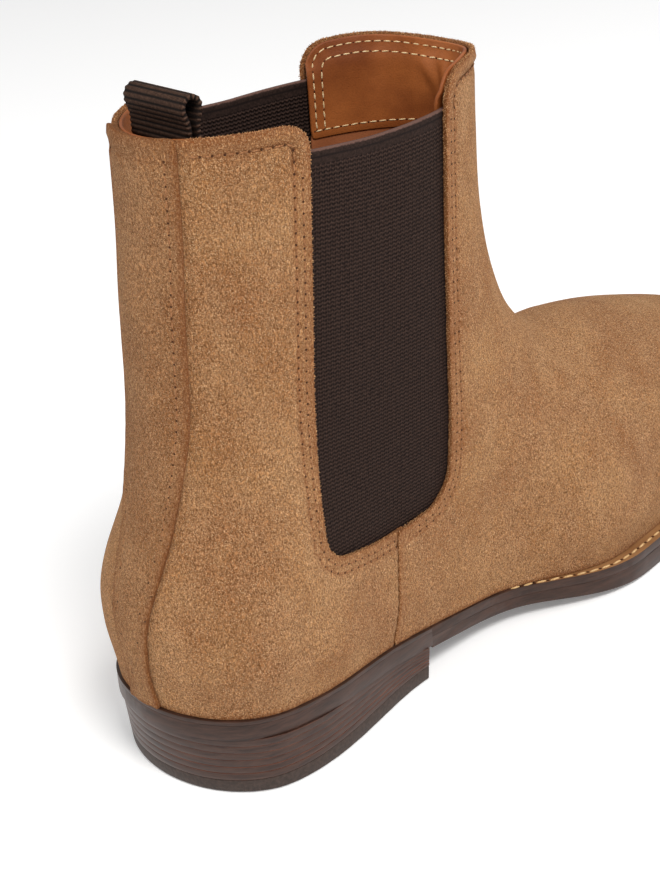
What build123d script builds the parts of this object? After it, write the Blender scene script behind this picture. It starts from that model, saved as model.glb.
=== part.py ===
from build123d import *
import os
import numpy as np

# ---- driving dimensions in mm ----
# x forward from the back of the heel, z up from the floor, +y on the inner side
TOE_TIP = 288.0  # front of the upper
TOE_ROUND_FROM = 216.0  # where the plan outline starts to close round the toe
TOE_SWING = 11.0  # how far the toe tip leans to the inner side
SWING_FROM = 125.0
COLLAR = 173.0  # height of the top edge
CONSTRUCTION_TOP = 190.0  # the surfaces run on above the collar and are trimmed back
CONSTRUCTION_FLOOR = -2.0

# stations (x, value): height of the line where the upper meets the sole, and half widths in plan
FEATHER = ((0, 24.2), (70, 16.9), (112, 12.0), (165, 9.2), (182, 9.0), (205, 9.0), (240, 11.0), (288, 19.0))
OUTER_HALF = (
    (0, 32.5), (33, 32.5), (74, 25.5), (112, 23.0), (158, 36.6), (176, 35.5), (200, 33.5), (222, 33.0),
)
INNER_HALF = (
    (0, 32.5), (33, 32.5), (74, 27.0), (112, 26.5), (158, 39.0), (188, 44.5), (210, 43.0), (222, 41.0),
)
# stations (z, value): back of the heel and half width of the shaft
HEEL_BACK = ((26, 1.2), (46, -0.4), (74, 7.7), (102, 12.4), (130, 14.6), (150, 16.6), (190, 18.5))
SHAFT_HALF = ((28, 32.5), (46, 27.0), (84, 26.6), (112, 27.7), (150, 29.1), (190, 30.0))
# profile from the toe, over the instep and up the front of the shaft
RIDGE = (
    (288.0, 19.0), (287.6, 27.5), (282.0, 35.6), (268.0, 44.8), (245.0, 55.8), (220.0, 65.2),
    (195.0, 73.2), (172.0, 78.6), (152.0, 82.6), (140.0, 94.4), (132.0, 111.0), (127.6, 131.0),
    (126.6, 153.0), (127.4, 190.0),
)
HEEL_ROUND = (26.4, 49.3)  # rounding length behind, at the counter and up the shaft
SHAFT_ROUND = 51.7  # rounding length in front of the shaft
VAMP_FULLNESS = {-1: 2.15, 1: 2.9}  # the inner side of the vamp is squarer
FLARE = 0.91  # the upper tucks in by this much at the sole
FLARE_RISE = 15.0


def flow(stations, at):
    """A smooth curve through (position, value) stations that never overshoots them."""
    xs, ys = np.array(stations, float).T
    step, slope = np.diff(xs), np.diff(ys) / np.diff(xs)
    lean = np.zeros_like(ys)
    lean[0], lean[-1] = slope[0], slope[-1]
    same = slope[:-1] * slope[1:] > 0
    near, far = 2 * step[1:] + step[:-1], step[1:] + 2 * step[:-1]
    safe = np.where(same, slope[:-1], 1.0), np.where(same, slope[1:], 1.0)
    lean[1:-1] = np.where(same, (near + far) / (near / safe[0] + far / safe[1]), 0.0)
    at = np.asarray(at, float)
    i = np.clip(np.searchsorted(xs, at) - 1, 0, len(xs) - 2)
    t = (at - xs[i]) / step[i]
    u = np.clip(t, 0, 1)
    inside = (1 + 2 * u) * (1 - u) ** 2 * ys[i] + u * (1 - u) ** 2 * step[i] * lean[i]
    inside += u * u * (3 - 2 * u) * ys[i + 1] + u * u * (u - 1) * step[i] * lean[i + 1]
    past_end, before_start = (t - 1) * step[i] * lean[-1], t * step[i] * lean[0]
    return inside + np.where(t > 1, past_end, 0) + np.where(t < 0, before_start, 0)


def ease(start, end, at):
    t = np.clip((np.asarray(at, float) - start) / (end - start), 0, 1)
    return t * t * (3 - 2 * t)


def round_off(share, fullness=2.15):
    """1 inside, falling to 0 along an oval when share goes from 1 to 0."""
    return np.sqrt(np.clip(1 - (1 - np.clip(share, 0, 1)) ** fullness, 0, 1))


def ridge_line(count=400):
    """Points (x, z) along RIDGE, from the toe to the top."""
    pts = np.array(RIDGE, float)
    along = np.concatenate([[0], np.cumsum(np.hypot(*np.diff(pts, axis=0).T))])
    lean = np.gradient(pts, along, axis=0)
    at = np.linspace(0, along[-1], count)
    i = np.clip(np.searchsorted(along, at) - 1, 0, len(pts) - 2)
    h = np.diff(along)[i][:, None]
    u = ((at - along[i]) / np.diff(along)[i])[:, None]
    low = (1 + 2 * u) * (1 - u) ** 2 * pts[i] + u * (1 - u) ** 2 * h * lean[i]
    return low + u * u * (3 - 2 * u) * pts[i + 1] + u * u * (u - 1) * h * lean[i + 1]


RIDGE_LINE = ridge_line()


def swing(x):
    return TOE_SWING * np.clip((np.asarray(x, float) - SWING_FROM) / (TOE_TIP - SWING_FROM), 0, 1) ** 1.5


def half_width(x, z, side):
    """Half width of the upper's outer surface at (x, z); side is -1 outer, +1 inner."""
    x, z = np.asarray(x, float), np.asarray(z, float)
    close = np.clip((x - TOE_ROUND_FROM) / (TOE_TIP - TOE_ROUND_FROM), 0, 1)
    stations = OUTER_HALF if side < 0 else INNER_HALF
    plan = flow(stations, np.minimum(x, TOE_ROUND_FROM)) * np.sqrt(1 - close**2.05)
    up = ease(35, 88, z)
    body = (1 - up) * plan + up * flow(SHAFT_HALF, z)
    heel = HEEL_ROUND[0] + (HEEL_ROUND[1] - HEEL_ROUND[0]) * ease(56, 112, z)
    behind = round_off((x - flow(HEEL_BACK, z)) / heel)
    gap = np.hypot(x[..., None] - RIDGE_LINE[:, 0], z[..., None] - RIDGE_LINE[:, 1]).min(-1)
    order = np.argsort(RIDGE_LINE[:, 0], kind="stable")
    top = np.interp(x, RIDGE_LINE[order, 0], RIDGE_LINE[order, 1])
    tall = np.maximum(top - flow(FEATHER, x), 1e-3)
    ahead = (1 - ease(138, 186, x)) * round_off(gap / SHAFT_ROUND)
    ahead = ahead + ease(138, 186, x) * round_off((top - z) / (0.75 * tall), VAMP_FULLNESS[side])
    flare = FLARE + (1 - FLARE) * ease(0, FLARE_RISE, z - flow(FEATHER, x))
    return body * behind * ahead * flare


# ---- the last: closed loops from under the sole to above the collar ----
# (height at the back of the heel, share of the way along the ridge line, how far it has left the feather line)
LOOPS = (
    (24.2, 0.0, 0.0), (29.0, 0.03, 0.04), (35.0, 0.07, 0.14), (42.0, 0.125, 0.3), (50.0, 0.19, 0.5),
    (59.0, 0.26, 0.72), (69.0, 0.34, 0.9), (80.0, 0.425, 1.0), (92.0, 0.51, 1.0), (105.0, 0.595, 1.0),
    (119.0, 0.68, 1.0), (134.0, 0.76, 1.0), (150.0, 0.835, 1.0), (169.0, 0.915, 1.0), (190.0, 1.0, 1.0),
)
SIDE_POINTS = 20  # spline spans on each side of a loop
FINE = 6  # finer steps in both directions, used for the surface normals
SIDE_REACH = 75.0  # half length of the cutting prisms across the boot


def loop_points(back_z, share, risen):
    """One closed loop of surface points, evenly spaced, from the back round the outer side."""
    front_x, front_z = RIDGE_LINE[int(round(share * (len(RIDGE_LINE) - 1)))]
    back_x = float(flow(HEEL_BACK, back_z))
    t = (1 - np.cos(np.linspace(0, np.pi, 240))) / 2
    x = back_x + t * (front_x - back_x)
    dip = flow(FEATHER, x) - (FEATHER[0][1] + t * (float(flow(FEATHER, front_x)) - FEATHER[0][1]))
    z = back_z + t * (front_z - back_z) + (1 - risen) * dip
    sides = []
    for side in (-1, 1):
        pts = np.stack([x, side * half_width(x, z, side) + swing(x), z], -1)
        pts[0, 1] = swing(back_x)
        pts[-1, 1] = swing(front_x)
        run = np.concatenate([[0], np.cumsum(np.linalg.norm(np.diff(pts, axis=0), axis=1))])
        even = np.linspace(0, run[-1], SIDE_POINTS * FINE + 1)
        sides.append(np.stack([np.interp(even, run, pts[:, k]) for k in range(3)], -1))
    return np.concatenate([sides[0][:-1], sides[1][::-1][:-1]])


def last_grid():
    """Loops of points with their outward normals, at the construction spacing."""
    table = np.array(LOOPS)
    at = np.linspace(0, len(table) - 1, (len(table) - 1) * FINE + 1)
    values = [flow(tuple(zip(range(len(table)), table[:, k])), at) for k in range(3)]
    grid = np.array([loop_points(*row) for row in zip(*values)])
    around = np.roll(grid, -1, axis=1) - np.roll(grid, 1, axis=1)
    normal = np.cross(around, np.gradient(grid, axis=0))
    normal /= np.linalg.norm(normal, axis=2, keepdims=True)
    return grid[::FINE, ::FINE], normal[::FINE, ::FINE]


GRID, NORMAL = last_grid()


def ring(pts):
    """A smooth closed wire through the points."""
    steps = [i / len(pts) for i in range(len(pts) + 1)]
    return Wire([Edge.make_spline([Vector(*p) for p in pts], periodic=True, parameters=steps)])


def last_solid(inset):
    """The solid inside the upper's outer surface moved inward by inset."""
    moved = GRID - inset * NORMAL
    top, bottom = moved[-1].copy(), moved[0].copy()
    top[:, 2] = CONSTRUCTION_TOP
    halfway = bottom.copy()
    bottom[:, 2] = CONSTRUCTION_FLOOR
    halfway[:, 2] = (halfway[:, 2] + CONSTRUCTION_FLOOR) / 2
    rings = [bottom, halfway, *moved[:-1], top]
    return Solid.make_loft([ring(pts) for pts in rings], False)


def side_prism(*edges):
    """A solid across the whole boot from closed edges in the side view."""
    face = Face(Wire(list(edges)))
    slab = Solid.extrude(face, Vector(0, 2 * SIDE_REACH, 0))
    return slab.moved(Location((0, -SIDE_REACH, 0)))


def outline_prism(pts):
    return side_prism(*Wire.make_polygon([Vector(x, 0, z) for x, z in pts], close=True).edges())


def band(low, high, x_from, x_to, step=12.0):
    """A solid across the boot between two curves z = low(x) and z = high(x)."""
    count = max(3, int((x_to - x_from) / step) + 1)
    xs = np.linspace(x_from, x_to, count)
    under = Spline(*[(x, 0, float(low(x))) for x in xs])
    over = Spline(*[(x, 0, float(high(x))) for x in xs])
    return side_prism(under, Line(under @ 1, over @ 1), over, Line(over @ 0, under @ 0))


def feather_line(shift=0.0):
    return lambda x: flow(FEATHER, x) + shift


def only(shape):
    """The biggest solid of a boolean result, as one plain solid."""
    return max(shape.solids(), key=lambda s: s.volume)


def layer(outer, inner, region):
    return (outer & region) - inner


# ---- thicknesses and joints between pieces ----
PROUD = 1.3  # back strip over the quarters
SUEDE = 1.5
PLY_GAP = 0.1  # between two layers of the upper
MIDDLE = 1.1  # elastic, counter and toe puff
LINING = 0.9
BUTT_GAP = 0.1  # between two panels of one layer
MOVING_GAP = 0.3  # between panels of different bodies
SEAT_GAP = 0.06  # under the upper, between stacked flat pieces

# insets from the outer surface at which each layer starts and ends
SUEDE_IN = SUEDE
MIDDLE_OUT = SUEDE_IN + PLY_GAP
MIDDLE_IN = MIDDLE_OUT + MIDDLE
LINING_OUT = MIDDLE_IN + PLY_GAP
LINING_IN = LINING_OUT + LINING

# gore window in the side view, with its corner roundings
WINDOW_TOP_REAR = (49.2, COLLAR)
WINDOW_LOW_REAR = (43.2, 58.0)
WINDOW_LOW_MIDDLE = (68.0, 52.6)
WINDOW_LOW_FRONT = (93.6, 54.0)
WINDOW_TOP_FRONT = (96.4, COLLAR)
WINDOW_RADII = (6.0, 8.0, 11.0, 8.0)
GORE_TOP = ((30.0, 166.0), (48.8, 165.2), (70.0, 164.0), (96.4, 163.8), (115.0, 164.6))
GORE_TUCK = 7.0  # elastic hidden under the suede round the window
LINING_TUCK = 1.0  # the lining's window is this much larger than the suede's

SEAM_LOW = (69.6, 0.0)  # side seam between quarter and vamp
SEAM_HIGH = (72.0, 60.0)
HINGE = (143.2, 91.3)  # crease line across the instep where the front of the shaft bends
BEND_END = (93.9, 64.0)  # the bend meets the gore window here
FLAP_TOP = ((100.0, COLLAR), (117.0, COLLAR + 0.9), (130.0, COLLAR - 2.6))
FACING_FROM = 147.5  # lower edge of the leather facings inside the collar
STRIP_HALF = ((20, 6.4), (33, 4.6), (45, 6.0), (63, 8.5), (86, 10.8), (105, 12.0), (180, 12.2))

# sole and heel
WELT = 3.0
RAND = 1.2
FOREPART = 6.0  # outsole thickness under the welt
WAIST = 3.6
SEAT_LEATHER = 4.6  # outsole thickness over the heel
BREAST_TOP = 85.5
BREAST_LOW = 82.5
TOP_PIECE = 3.9
LIFTS = 6
HEEL_TAPER = 3.0  # the heel's back leans in this much at the floor
HEEL_STANDS_OUT = 0.9  # heel beyond the upper at the seat
HEEL_FLARE = 0.9  # and this much more at the floor
HEEL_BOW = (0.22, 0.55)  # how far its sides bow out towards the breast, at the seat and at the floor
NAILS = ((14, 0), (24, 14), (24, -14), (50, 13), (50, -13))
WELT_STANDS_OUT = 4.2
WAIST_STANDS_OUT = 0.7
NAIL_RADIUS = 0.9
SHANK_ENDS = (28.0, 128.0)
SHANK_HALF = 7.0
INSOLE = 2.4
RIB_IN = 7.0  # the welt and rand reach this far in under the upper
FILLER_GAP = 0.2
FILLER_FROM = 136.0  # cork in front of this, the shank bed behind
BED_FROM = 8.0
SOLE_REACH = 310.0  # past the toe
SOCK = 1.2

# pull tab
TAB_HALF = 10.8
TAB_AXIS = (28.3, 174.4)
TAB_TOP = 181.4
WEB = 1.4
TAB_OPEN = 3.0  # room between the plies at the top
TAB_ENDS_FROM = 152.0


def window(grow=0.0):
    """The gore window as a solid across the boot, open above the collar."""
    corners = [
        (WINDOW_TOP_REAR[0] - 10, CONSTRUCTION_TOP + 20),
        (WINDOW_TOP_REAR[0] - 10, COLLAR), WINDOW_TOP_REAR,
        WINDOW_LOW_REAR, WINDOW_LOW_MIDDLE, WINDOW_LOW_FRONT, WINDOW_TOP_FRONT,
        (WINDOW_TOP_FRONT[0] + 10, COLLAR), (WINDOW_TOP_FRONT[0] + 10, CONSTRUCTION_TOP + 20),
    ]
    flat = Face(Wire.make_polygon([Vector(x, z, 0) for x, z in corners], close=True))
    for corner, radius in zip((2, 3, 5, 6), WINDOW_RADII):
        x, z = corners[corner]
        nearest = min(flat.vertices(), key=lambda v: (v.X - x) ** 2 + (v.Y - z) ** 2)
        flat = flat.fillet_2d(radius, [nearest])
    if grow:
        flat = Face(flat.outer_wire().offset_2d(grow))
    upright = flat.moved(Location((0, SIDE_REACH, 0), (90, 0, 0)))
    return Solid.extrude(upright, Vector(0, -2 * SIDE_REACH, 0))


def collar_cut(drop=0.0):
    """Everything below the top edge: level behind, gently crowned over the front flap."""
    (x0, z0), (x1, z1), (x2, z2) = FLAP_TOP
    start, crown, end = (x0, 0, z0 - drop), (x1, 0, z1 - drop), (x2, 0, z2 - drop)
    low_left, low_right = (-20, 0, CONSTRUCTION_FLOOR), (320, 0, CONSTRUCTION_FLOOR)
    high_left, high_right = (-20, 0, z0 - drop), (320, 0, z2 - drop)
    return side_prism(
        Line(high_left, start), ThreePointArc(start, crown, end), Line(end, high_right),
        Line(high_right, low_right), Line(low_right, low_left), Line(low_left, high_left),
    )


def above_feather():
    return band(feather_line(SEAT_GAP), lambda x: CONSTRUCTION_TOP + 5 + 0 * x, -15, 320)


def shaft_side(sign):
    """The region above (+1) or below (-1) the bend, which runs from the instep crease to the gore window."""
    along = np.array(HINGE) - np.array(BEND_END)
    along /= np.linalg.norm(along)
    shift = sign * MOVING_GAP / 2 * np.array([-along[1], along[0]])
    inner, outer = np.array(BEND_END) - 6.0 * along + shift, np.array(HINGE) + 60.0 * along + shift
    if sign > 0:
        return outline_prism([inner, outer, (320, 230), (inner[0], 230)])
    return outline_prism([(40, -5), (320, -5), (320, outer[1]), outer, inner, (40, inner[1])])


def half_space(side):
    """Everything on one side of the boot's centre line."""
    low = BUTT_GAP / 2 if side > 0 else -SIDE_REACH
    return Solid.make_box(400, SIDE_REACH - BUTT_GAP / 2, 260).moved(Location((-40, low, -20)))


def beside_seam(far_x, shift):
    """The region from the side seam, moved by shift, to far_x."""
    (x0, z0), (x1, z1) = SEAM_LOW, SEAM_HIGH
    corners = [(far_x, z0 - 5), (x0 + shift, z0 - 5), (x1 + shift, z1), (x1 + shift, 230), (far_x, 230)]
    return outline_prism(corners)


def rear_of_seam(shift):
    return beside_seam(-20, shift)


def front_of_seam(shift):
    return beside_seam(320, shift)


def zone(x_from, x_to, z_from, z_to, half=SIDE_REACH):
    box = Solid.make_box(x_to - x_from, 2 * half, z_to - z_from)
    return box.moved(Location((x_from, -half, z_from)))


# ---- upper ----
INSETS = (-PROUD, 0.0, SUEDE_IN, MIDDLE_OUT, MIDDLE_IN, LINING_OUT, LINING_IN)
SKINS = {inset: last_solid(inset) for inset in INSETS}
WINDOW = window()
LINING_WINDOW = window(LINING_TUCK)
GORE_REACH = window(GORE_TUCK)


def upper_panels():
    shell = layer(SKINS[0.0], SKINS[SUEDE_IN], collar_cut() & above_feather()) - WINDOW
    rear = shell & rear_of_seam(-BUTT_GAP / 2)
    front = shell & front_of_seam(BUTT_GAP / 2)
    return {
        "quarter_outer": only(rear & half_space(-1)),
        "quarter_inner": only(rear & half_space(1)),
        "vamp": only(front & shaft_side(-1)),
        "front_shaft": only(front & shaft_side(1)),
    }


def back_strip():
    """The strip of suede sewn over the back seam."""
    zs = np.linspace(12, 185, 12)
    sides = [Spline(*[(0, side * float(flow(STRIP_HALF, z)), z) for z in zs]) for side in (-1, 1)]
    top, foot = Line(sides[0] @ 1, sides[1] @ 1), Line(sides[1] @ 0, sides[0] @ 0)
    outline = Face(Wire([sides[0], top, sides[1], foot]))
    reach = Solid.extrude(outline, Vector(60, 0, 0)).moved(Location((-20, 0, 0)))
    region = collar_cut() & above_feather() & reach
    return only(layer(SKINS[-PROUD], SKINS[0.0], region))


def gores():
    top = Spline(*[(x, 0, z) for x, z in GORE_TOP])
    low_left, low_right = (GORE_TOP[0][0], 0, 30), (GORE_TOP[-1][0], 0, 30)
    below_top = side_prism(top, Line(top @ 1, low_right), Line(low_right, low_left), Line(low_left, top @ 0))
    both = layer(SKINS[MIDDLE_OUT], SKINS[MIDDLE_IN], GORE_REACH & below_top)
    return {"gore_outer": only(both & half_space(-1)), "gore_inner": only(both & half_space(1))}


def stiffeners():
    counter_top = Spline((-15, 0, 62), (20, 0, 59), (48, 0, 46), (72, 0, 28), (86, 0, 8))
    corner = (-15, 0, 0)
    below = side_prism(counter_top, Line(counter_top @ 1, corner), Line(corner, counter_top @ 0))
    puff = zone(250, 320, 0, 80)
    cup = layer(SKINS[MIDDLE_OUT], SKINS[MIDDLE_IN], below & above_feather()) - window(GORE_TUCK + 1)
    cap = layer(SKINS[MIDDLE_OUT], SKINS[MIDDLE_IN], puff & above_feather())
    return {"heel_counter": only(cup), "toe_puff": only(cap)}


def linings():
    shell = layer(SKINS[LINING_OUT], SKINS[LINING_IN], collar_cut(0.4) & above_feather()) - LINING_WINDOW
    rear = shell & rear_of_seam(-BUTT_GAP / 2)
    front = shell & front_of_seam(BUTT_GAP / 2)
    shaft = front & shaft_side(1)
    edge = FACING_FROM - BUTT_GAP
    return {
        "quarter_lining": only(rear & zone(-20, 120, 0, edge)),
        "back_facing": only(rear & zone(-20, 120, FACING_FROM, 200)),
        "vamp_lining": only(front & shaft_side(-1)),
        "front_shaft_lining": only(shaft & zone(0, 320, 0, edge)),
        "front_facing": only(shaft & zone(0, 320, FACING_FROM, 200)),
    }


# ---- sole ----
class CubicLoop:
    """A smooth closed curve through points at given distances."""

    def __init__(self, along, pts):
        self.length = along[-1]
        self.curve = ring(np.c_[pts[:-1], np.zeros(len(pts) - 1)]).edges()[0]
        self.along = along

    def __call__(self, at):
        share = np.interp(np.mod(at, self.length), self.along, np.linspace(0, 1, len(self.along)))
        places = [self.curve.position_at(s, position_mode=PositionMode.PARAMETER) for s in share]
        return np.array([(place.X, place.Y) for place in places])


def plan_points(stand_out, count=64):
    """Points round the feather line in plan, moved outward by stand_out(x)."""
    loop = GRID[0]
    run = np.concatenate([loop, loop[:1]])
    along = np.concatenate([[0], np.cumsum(np.linalg.norm(np.diff(run[:, :2], axis=0), axis=1))])
    at = np.linspace(0, along[-1], count + 1)[:-1]
    smooth = CubicLoop(along, run[:, :2])
    pts, heading = smooth(at), smooth(at + 0.5) - smooth(at - 0.5)
    heading /= np.linalg.norm(heading, axis=1, keepdims=True)
    out = np.stack([heading[:, 1], -heading[:, 0]], -1)
    return pts + out * np.array([float(stand_out(x)) for x in pts[:, 0]])[:, None]


def plan_prism(stand_out):
    pts = plan_points(stand_out)
    face = Face(ring(np.c_[pts, np.full(len(pts), -5.0)]))
    return Solid.extrude(face, Vector(0, 0, 60))


def edge_stand_out(x):
    """Sole edge beyond the upper: close at the waist, a full welt round the forepart."""
    return WAIST_STANDS_OUT + (WELT_STANDS_OUT - WAIST_STANDS_OUT) * ease(118, 168, x)


def sole_under(x):
    """Lower face of the outsole: thin at the waist, full under the forepart and over the heel."""
    thick = WELT + WAIST + (FOREPART - WAIST) * ease(120, 180, x)
    return flow(FEATHER, x) - thick


def seat_under(x):
    return flow(FEATHER, x) - RAND - SEAT_LEATHER


def sole_pieces():
    edge = plan_prism(edge_stand_out)
    seat_edge = plan_prism(lambda x: HEEL_STANDS_OUT)
    cavity = plan_prism(lambda x: -RIB_IN)
    ring_band = band(feather_line(-WELT + SEAT_GAP), feather_line(0), BREAST_TOP, SOLE_REACH)
    welt = only((edge & ring_band) - cavity)
    rand_band = band(feather_line(-RAND + SEAT_GAP), feather_line(0), -12, BREAST_TOP - SEAT_GAP)
    rand = only((seat_edge & rand_band) - cavity)
    outsole_fore = edge & band(sole_under, feather_line(-WELT), BREAST_TOP, SOLE_REACH)
    outsole_seat = seat_edge & band(seat_under, feather_line(-RAND), -12, BREAST_TOP)
    outsole = only(outsole_fore + outsole_seat)
    inside = plan_prism(lambda x: -RIB_IN - FILLER_GAP)
    filler_band = band(feather_line(-WELT + SEAT_GAP), feather_line(-SEAT_GAP), FILLER_FROM, SOLE_REACH)
    filler = only(filler_band & inside)
    bed_end = FILLER_FROM - FILLER_GAP
    shank_bed = band(feather_line(-RAND + SEAT_GAP), feather_line(-SEAT_GAP), BED_FROM, bed_end)
    slot = zone(*SHANK_ENDS, 0, 40, SHANK_HALF)
    bed = only((shank_bed & inside) - slot)
    steel = zone(SHANK_ENDS[0] + SEAT_GAP, SHANK_ENDS[1] - SEAT_GAP, 0, 40, SHANK_HALF - SEAT_GAP)
    shank = only(shank_bed & steel)
    return {
        "welt": welt, "heel_rand": rand, "outsole": outsole, "cork_filler": filler,
        "shank_bed": bed, "shank": shank,
    }


def footbed():
    board_band = band(feather_line(SEAT_GAP), feather_line(INSOLE), -5, 300)
    sock_band = band(feather_line(INSOLE + SEAT_GAP), feather_line(INSOLE + SOCK), -5, 300)
    inside = plan_prism(lambda x: -(LINING_IN + 1.0))
    board = inside & board_band
    sock = only(inside & sock_band)
    return {"insole_board": only(board), "sock_liner": sock}


def heel_outline(back, half, breast_half, breast, height, bow):
    """D-shaped outline: flat breast, gently bowed sides and an oval back."""
    centre = back + 25.0
    turns = np.radians(np.arange(0, 181, 20))
    rear = [(centre - (centre - back) * np.sin(a), half * np.cos(a)) for a in turns]
    waist = (0.45 * centre + 0.55 * breast, bow * half + (1 - bow) * breast_half)
    pts = [(breast, breast_half), waist, *rear, (waist[0], -waist[1]), (breast, -breast_half)]
    side = Spline(*[(x, y, height) for x, y in pts])
    return Wire([side, Line(side @ 1, side @ 0)])


def heel_pieces():
    """Lifts between the seat and the floor, each a little thinner towards the breast."""
    seat_back = float(flow(HEEL_BACK, FEATHER[0][1])) - HEEL_STANDS_OUT
    half = float(half_width(33.0, flow(FEATHER, 33.0), -1)) + HEEL_STANDS_OUT
    breast_half = float(half_width(BREAST_TOP, flow(FEATHER, BREAST_TOP), -1)) + HEEL_STANDS_OUT
    top = heel_outline(seat_back, half, breast_half, BREAST_TOP, 27.0, HEEL_BOW[0])
    low_back, low_half = seat_back + HEEL_TAPER, half + HEEL_FLARE
    low = heel_outline(low_back, low_half, breast_half + HEEL_FLARE, BREAST_LOW, 0.0, HEEL_BOW[1])
    block = Solid.make_loft([low, top], True)
    nails = [Cylinder(NAIL_RADIUS, 12).moved(Location((x, y, 10))) for x, y in NAILS]
    parts = {}

    def level(k):
        return lambda x: TOP_PIECE + (seat_under(x) - TOP_PIECE) * k / LIFTS

    for k in range(LIFTS):
        slab = band(lambda x: level(k)(x) + SEAT_GAP / 2, lambda x: level(k + 1)(x) - SEAT_GAP / 2, -12, 90)
        parts[f"heel_lift_{k + 1}"] = only((block & slab) - Compound(children=nails))
    parts["heel_top_piece"] = only(block & zone(-12, 90, 0, TOP_PIECE - SEAT_GAP))
    lifts_only = band(lambda x: level(0)(x) + SEAT_GAP, lambda x: level(LIFTS)(x) - SEAT_GAP, -12, 90)
    parts["heel_nails"] = Compound(children=[only(nail & lifts_only) for nail in nails])
    return parts


# ---- pull tab ----
def tab_pieces():
    x, z = TAB_AXIS
    outer_half = WEB + TAB_OPEN / 2
    fold_z = TAB_TOP - outer_half
    foot = WEB
    profile = Wire([
        Line((x - foot, 0, z), (x - outer_half, 0, fold_z)),
        ThreePointArc((x - outer_half, 0, fold_z), (x, 0, TAB_TOP), (x + outer_half, 0, fold_z)),
        Line((x + outer_half, 0, fold_z), (x + foot, 0, z)),
        ThreePointArc((x + foot, 0, z), (x, 0, z - foot), (x - foot, 0, z)),
    ])
    inner_half = TAB_OPEN / 2
    eye = Wire([
        Line((x - 0.3, 0, z + 1.6), (x - inner_half, 0, fold_z)),
        ThreePointArc((x - inner_half, 0, fold_z), (x, 0, TAB_TOP - WEB), (x + inner_half, 0, fold_z)),
        Line((x + inner_half, 0, fold_z), (x + 0.3, 0, z + 1.6)),
        Line((x + 0.3, 0, z + 1.6), (x - 0.3, 0, z + 1.6)),
    ])
    shift = Location((0, -TAB_HALF, 0))
    across = Vector(0, 2 * TAB_HALF, 0)
    solid = Solid.extrude(Face(profile), across) - Solid.extrude(Face(eye), across)
    loop = only(solid.moved(shift))
    clearance = MOVING_GAP + foot
    ends_zone = zone(10, x + WEB, TAB_ENDS_FROM, z - clearance, TAB_HALF)
    ends = only(ends_zone & last_solid(LINING_IN + PLY_GAP))
    return {"pull_tab_loop": loop, "pull_tab_ends": ends}


def build():
    parts = {**upper_panels(), "back_strip": back_strip(), **gores(), **stiffeners(), **linings()}
    parts.update({**sole_pieces(), **footbed(), **heel_pieces(), **tab_pieces()})
    boxes = [part.bounding_box() for part in parts.values()]
    low = [min(tuple(box.min)[k] for box in boxes) for k in range(3)]
    high = [max(tuple(box.max)[k] for box in boxes) for k in range(3)]
    origin = ((low[0] + high[0]) / 2, (low[1] + high[1]) / 2, low[2])
    print("size", [round(high[k] - low[k], 2) for k in range(3)], "origin", [round(v, 3) for v in origin])
    os.makedirs("parts", exist_ok=True)
    for name, part in parts.items():
        export_step(part.moved(Location((-origin[0], -origin[1], -origin[2]))), f"parts/{name}.step")


build()
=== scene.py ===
import math
import random
import bmesh
import bpy
import numpy as np
from mathutils import Matrix, Vector


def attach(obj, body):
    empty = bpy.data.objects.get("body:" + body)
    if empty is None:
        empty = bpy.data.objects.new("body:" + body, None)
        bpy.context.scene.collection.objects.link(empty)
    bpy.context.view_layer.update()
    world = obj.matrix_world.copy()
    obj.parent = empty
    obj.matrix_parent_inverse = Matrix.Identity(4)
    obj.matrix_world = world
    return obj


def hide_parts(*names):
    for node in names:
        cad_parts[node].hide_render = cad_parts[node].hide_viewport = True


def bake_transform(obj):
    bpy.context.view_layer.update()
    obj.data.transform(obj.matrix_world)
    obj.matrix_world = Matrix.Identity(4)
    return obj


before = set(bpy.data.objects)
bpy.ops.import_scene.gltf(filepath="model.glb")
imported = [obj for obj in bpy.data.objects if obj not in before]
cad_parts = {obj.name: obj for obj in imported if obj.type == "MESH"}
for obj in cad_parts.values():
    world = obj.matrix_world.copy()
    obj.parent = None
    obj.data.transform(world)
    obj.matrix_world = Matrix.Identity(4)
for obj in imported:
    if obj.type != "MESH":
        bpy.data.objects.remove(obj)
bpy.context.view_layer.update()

MM = 0.001

# Camera: low-contrast product view of the outer rear side from above, the lens a mild telephoto.
# It stands behind and outside the heel, and the toe runs out of the frame on the right.
yaw, pitch, roll = math.radians(48.0), math.radians(-26.18), math.radians(-4.33)
ahead = Vector((math.cos(pitch) * math.cos(yaw), math.cos(pitch) * math.sin(yaw), math.sin(pitch)))
level_right = Vector((math.sin(yaw), -math.cos(yaw), 0))
level_up = level_right.cross(ahead)
right = level_right * math.cos(roll) + level_up * math.sin(roll)
up = level_up * math.cos(roll) - level_right * math.sin(roll)
camera_data = bpy.data.cameras.new("camera")
camera_data.lens = 75.73
camera = bpy.data.objects.new("camera", camera_data)
bpy.context.scene.collection.objects.link(camera)
turn = Matrix((right, up, -ahead)).transposed().to_4x4()
camera.matrix_world = Matrix.Translation((-0.3771, -0.3442, 0.2963)) @ turn
bpy.context.scene.camera = camera


# Studio: a wide pale floor under large soft lamps, one big overhead from the camera's left and two
# weaker ones that fill the far side and the toe. The surroundings are an even white.
def lamp(name, place, aim, size, power, colour=(1, 1, 1)):
    data = bpy.data.lights.new(name, "AREA")
    data.shape = "DISK"
    data.size, data.energy, data.color = size, power, colour
    obj = bpy.data.objects.new(name, data)
    facing = (Vector(place) - Vector(aim)).to_track_quat("Z", "Y").to_matrix()
    obj.matrix_world = Matrix.Translation(place) @ facing.to_4x4()
    bpy.context.scene.collection.objects.link(obj)


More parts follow.
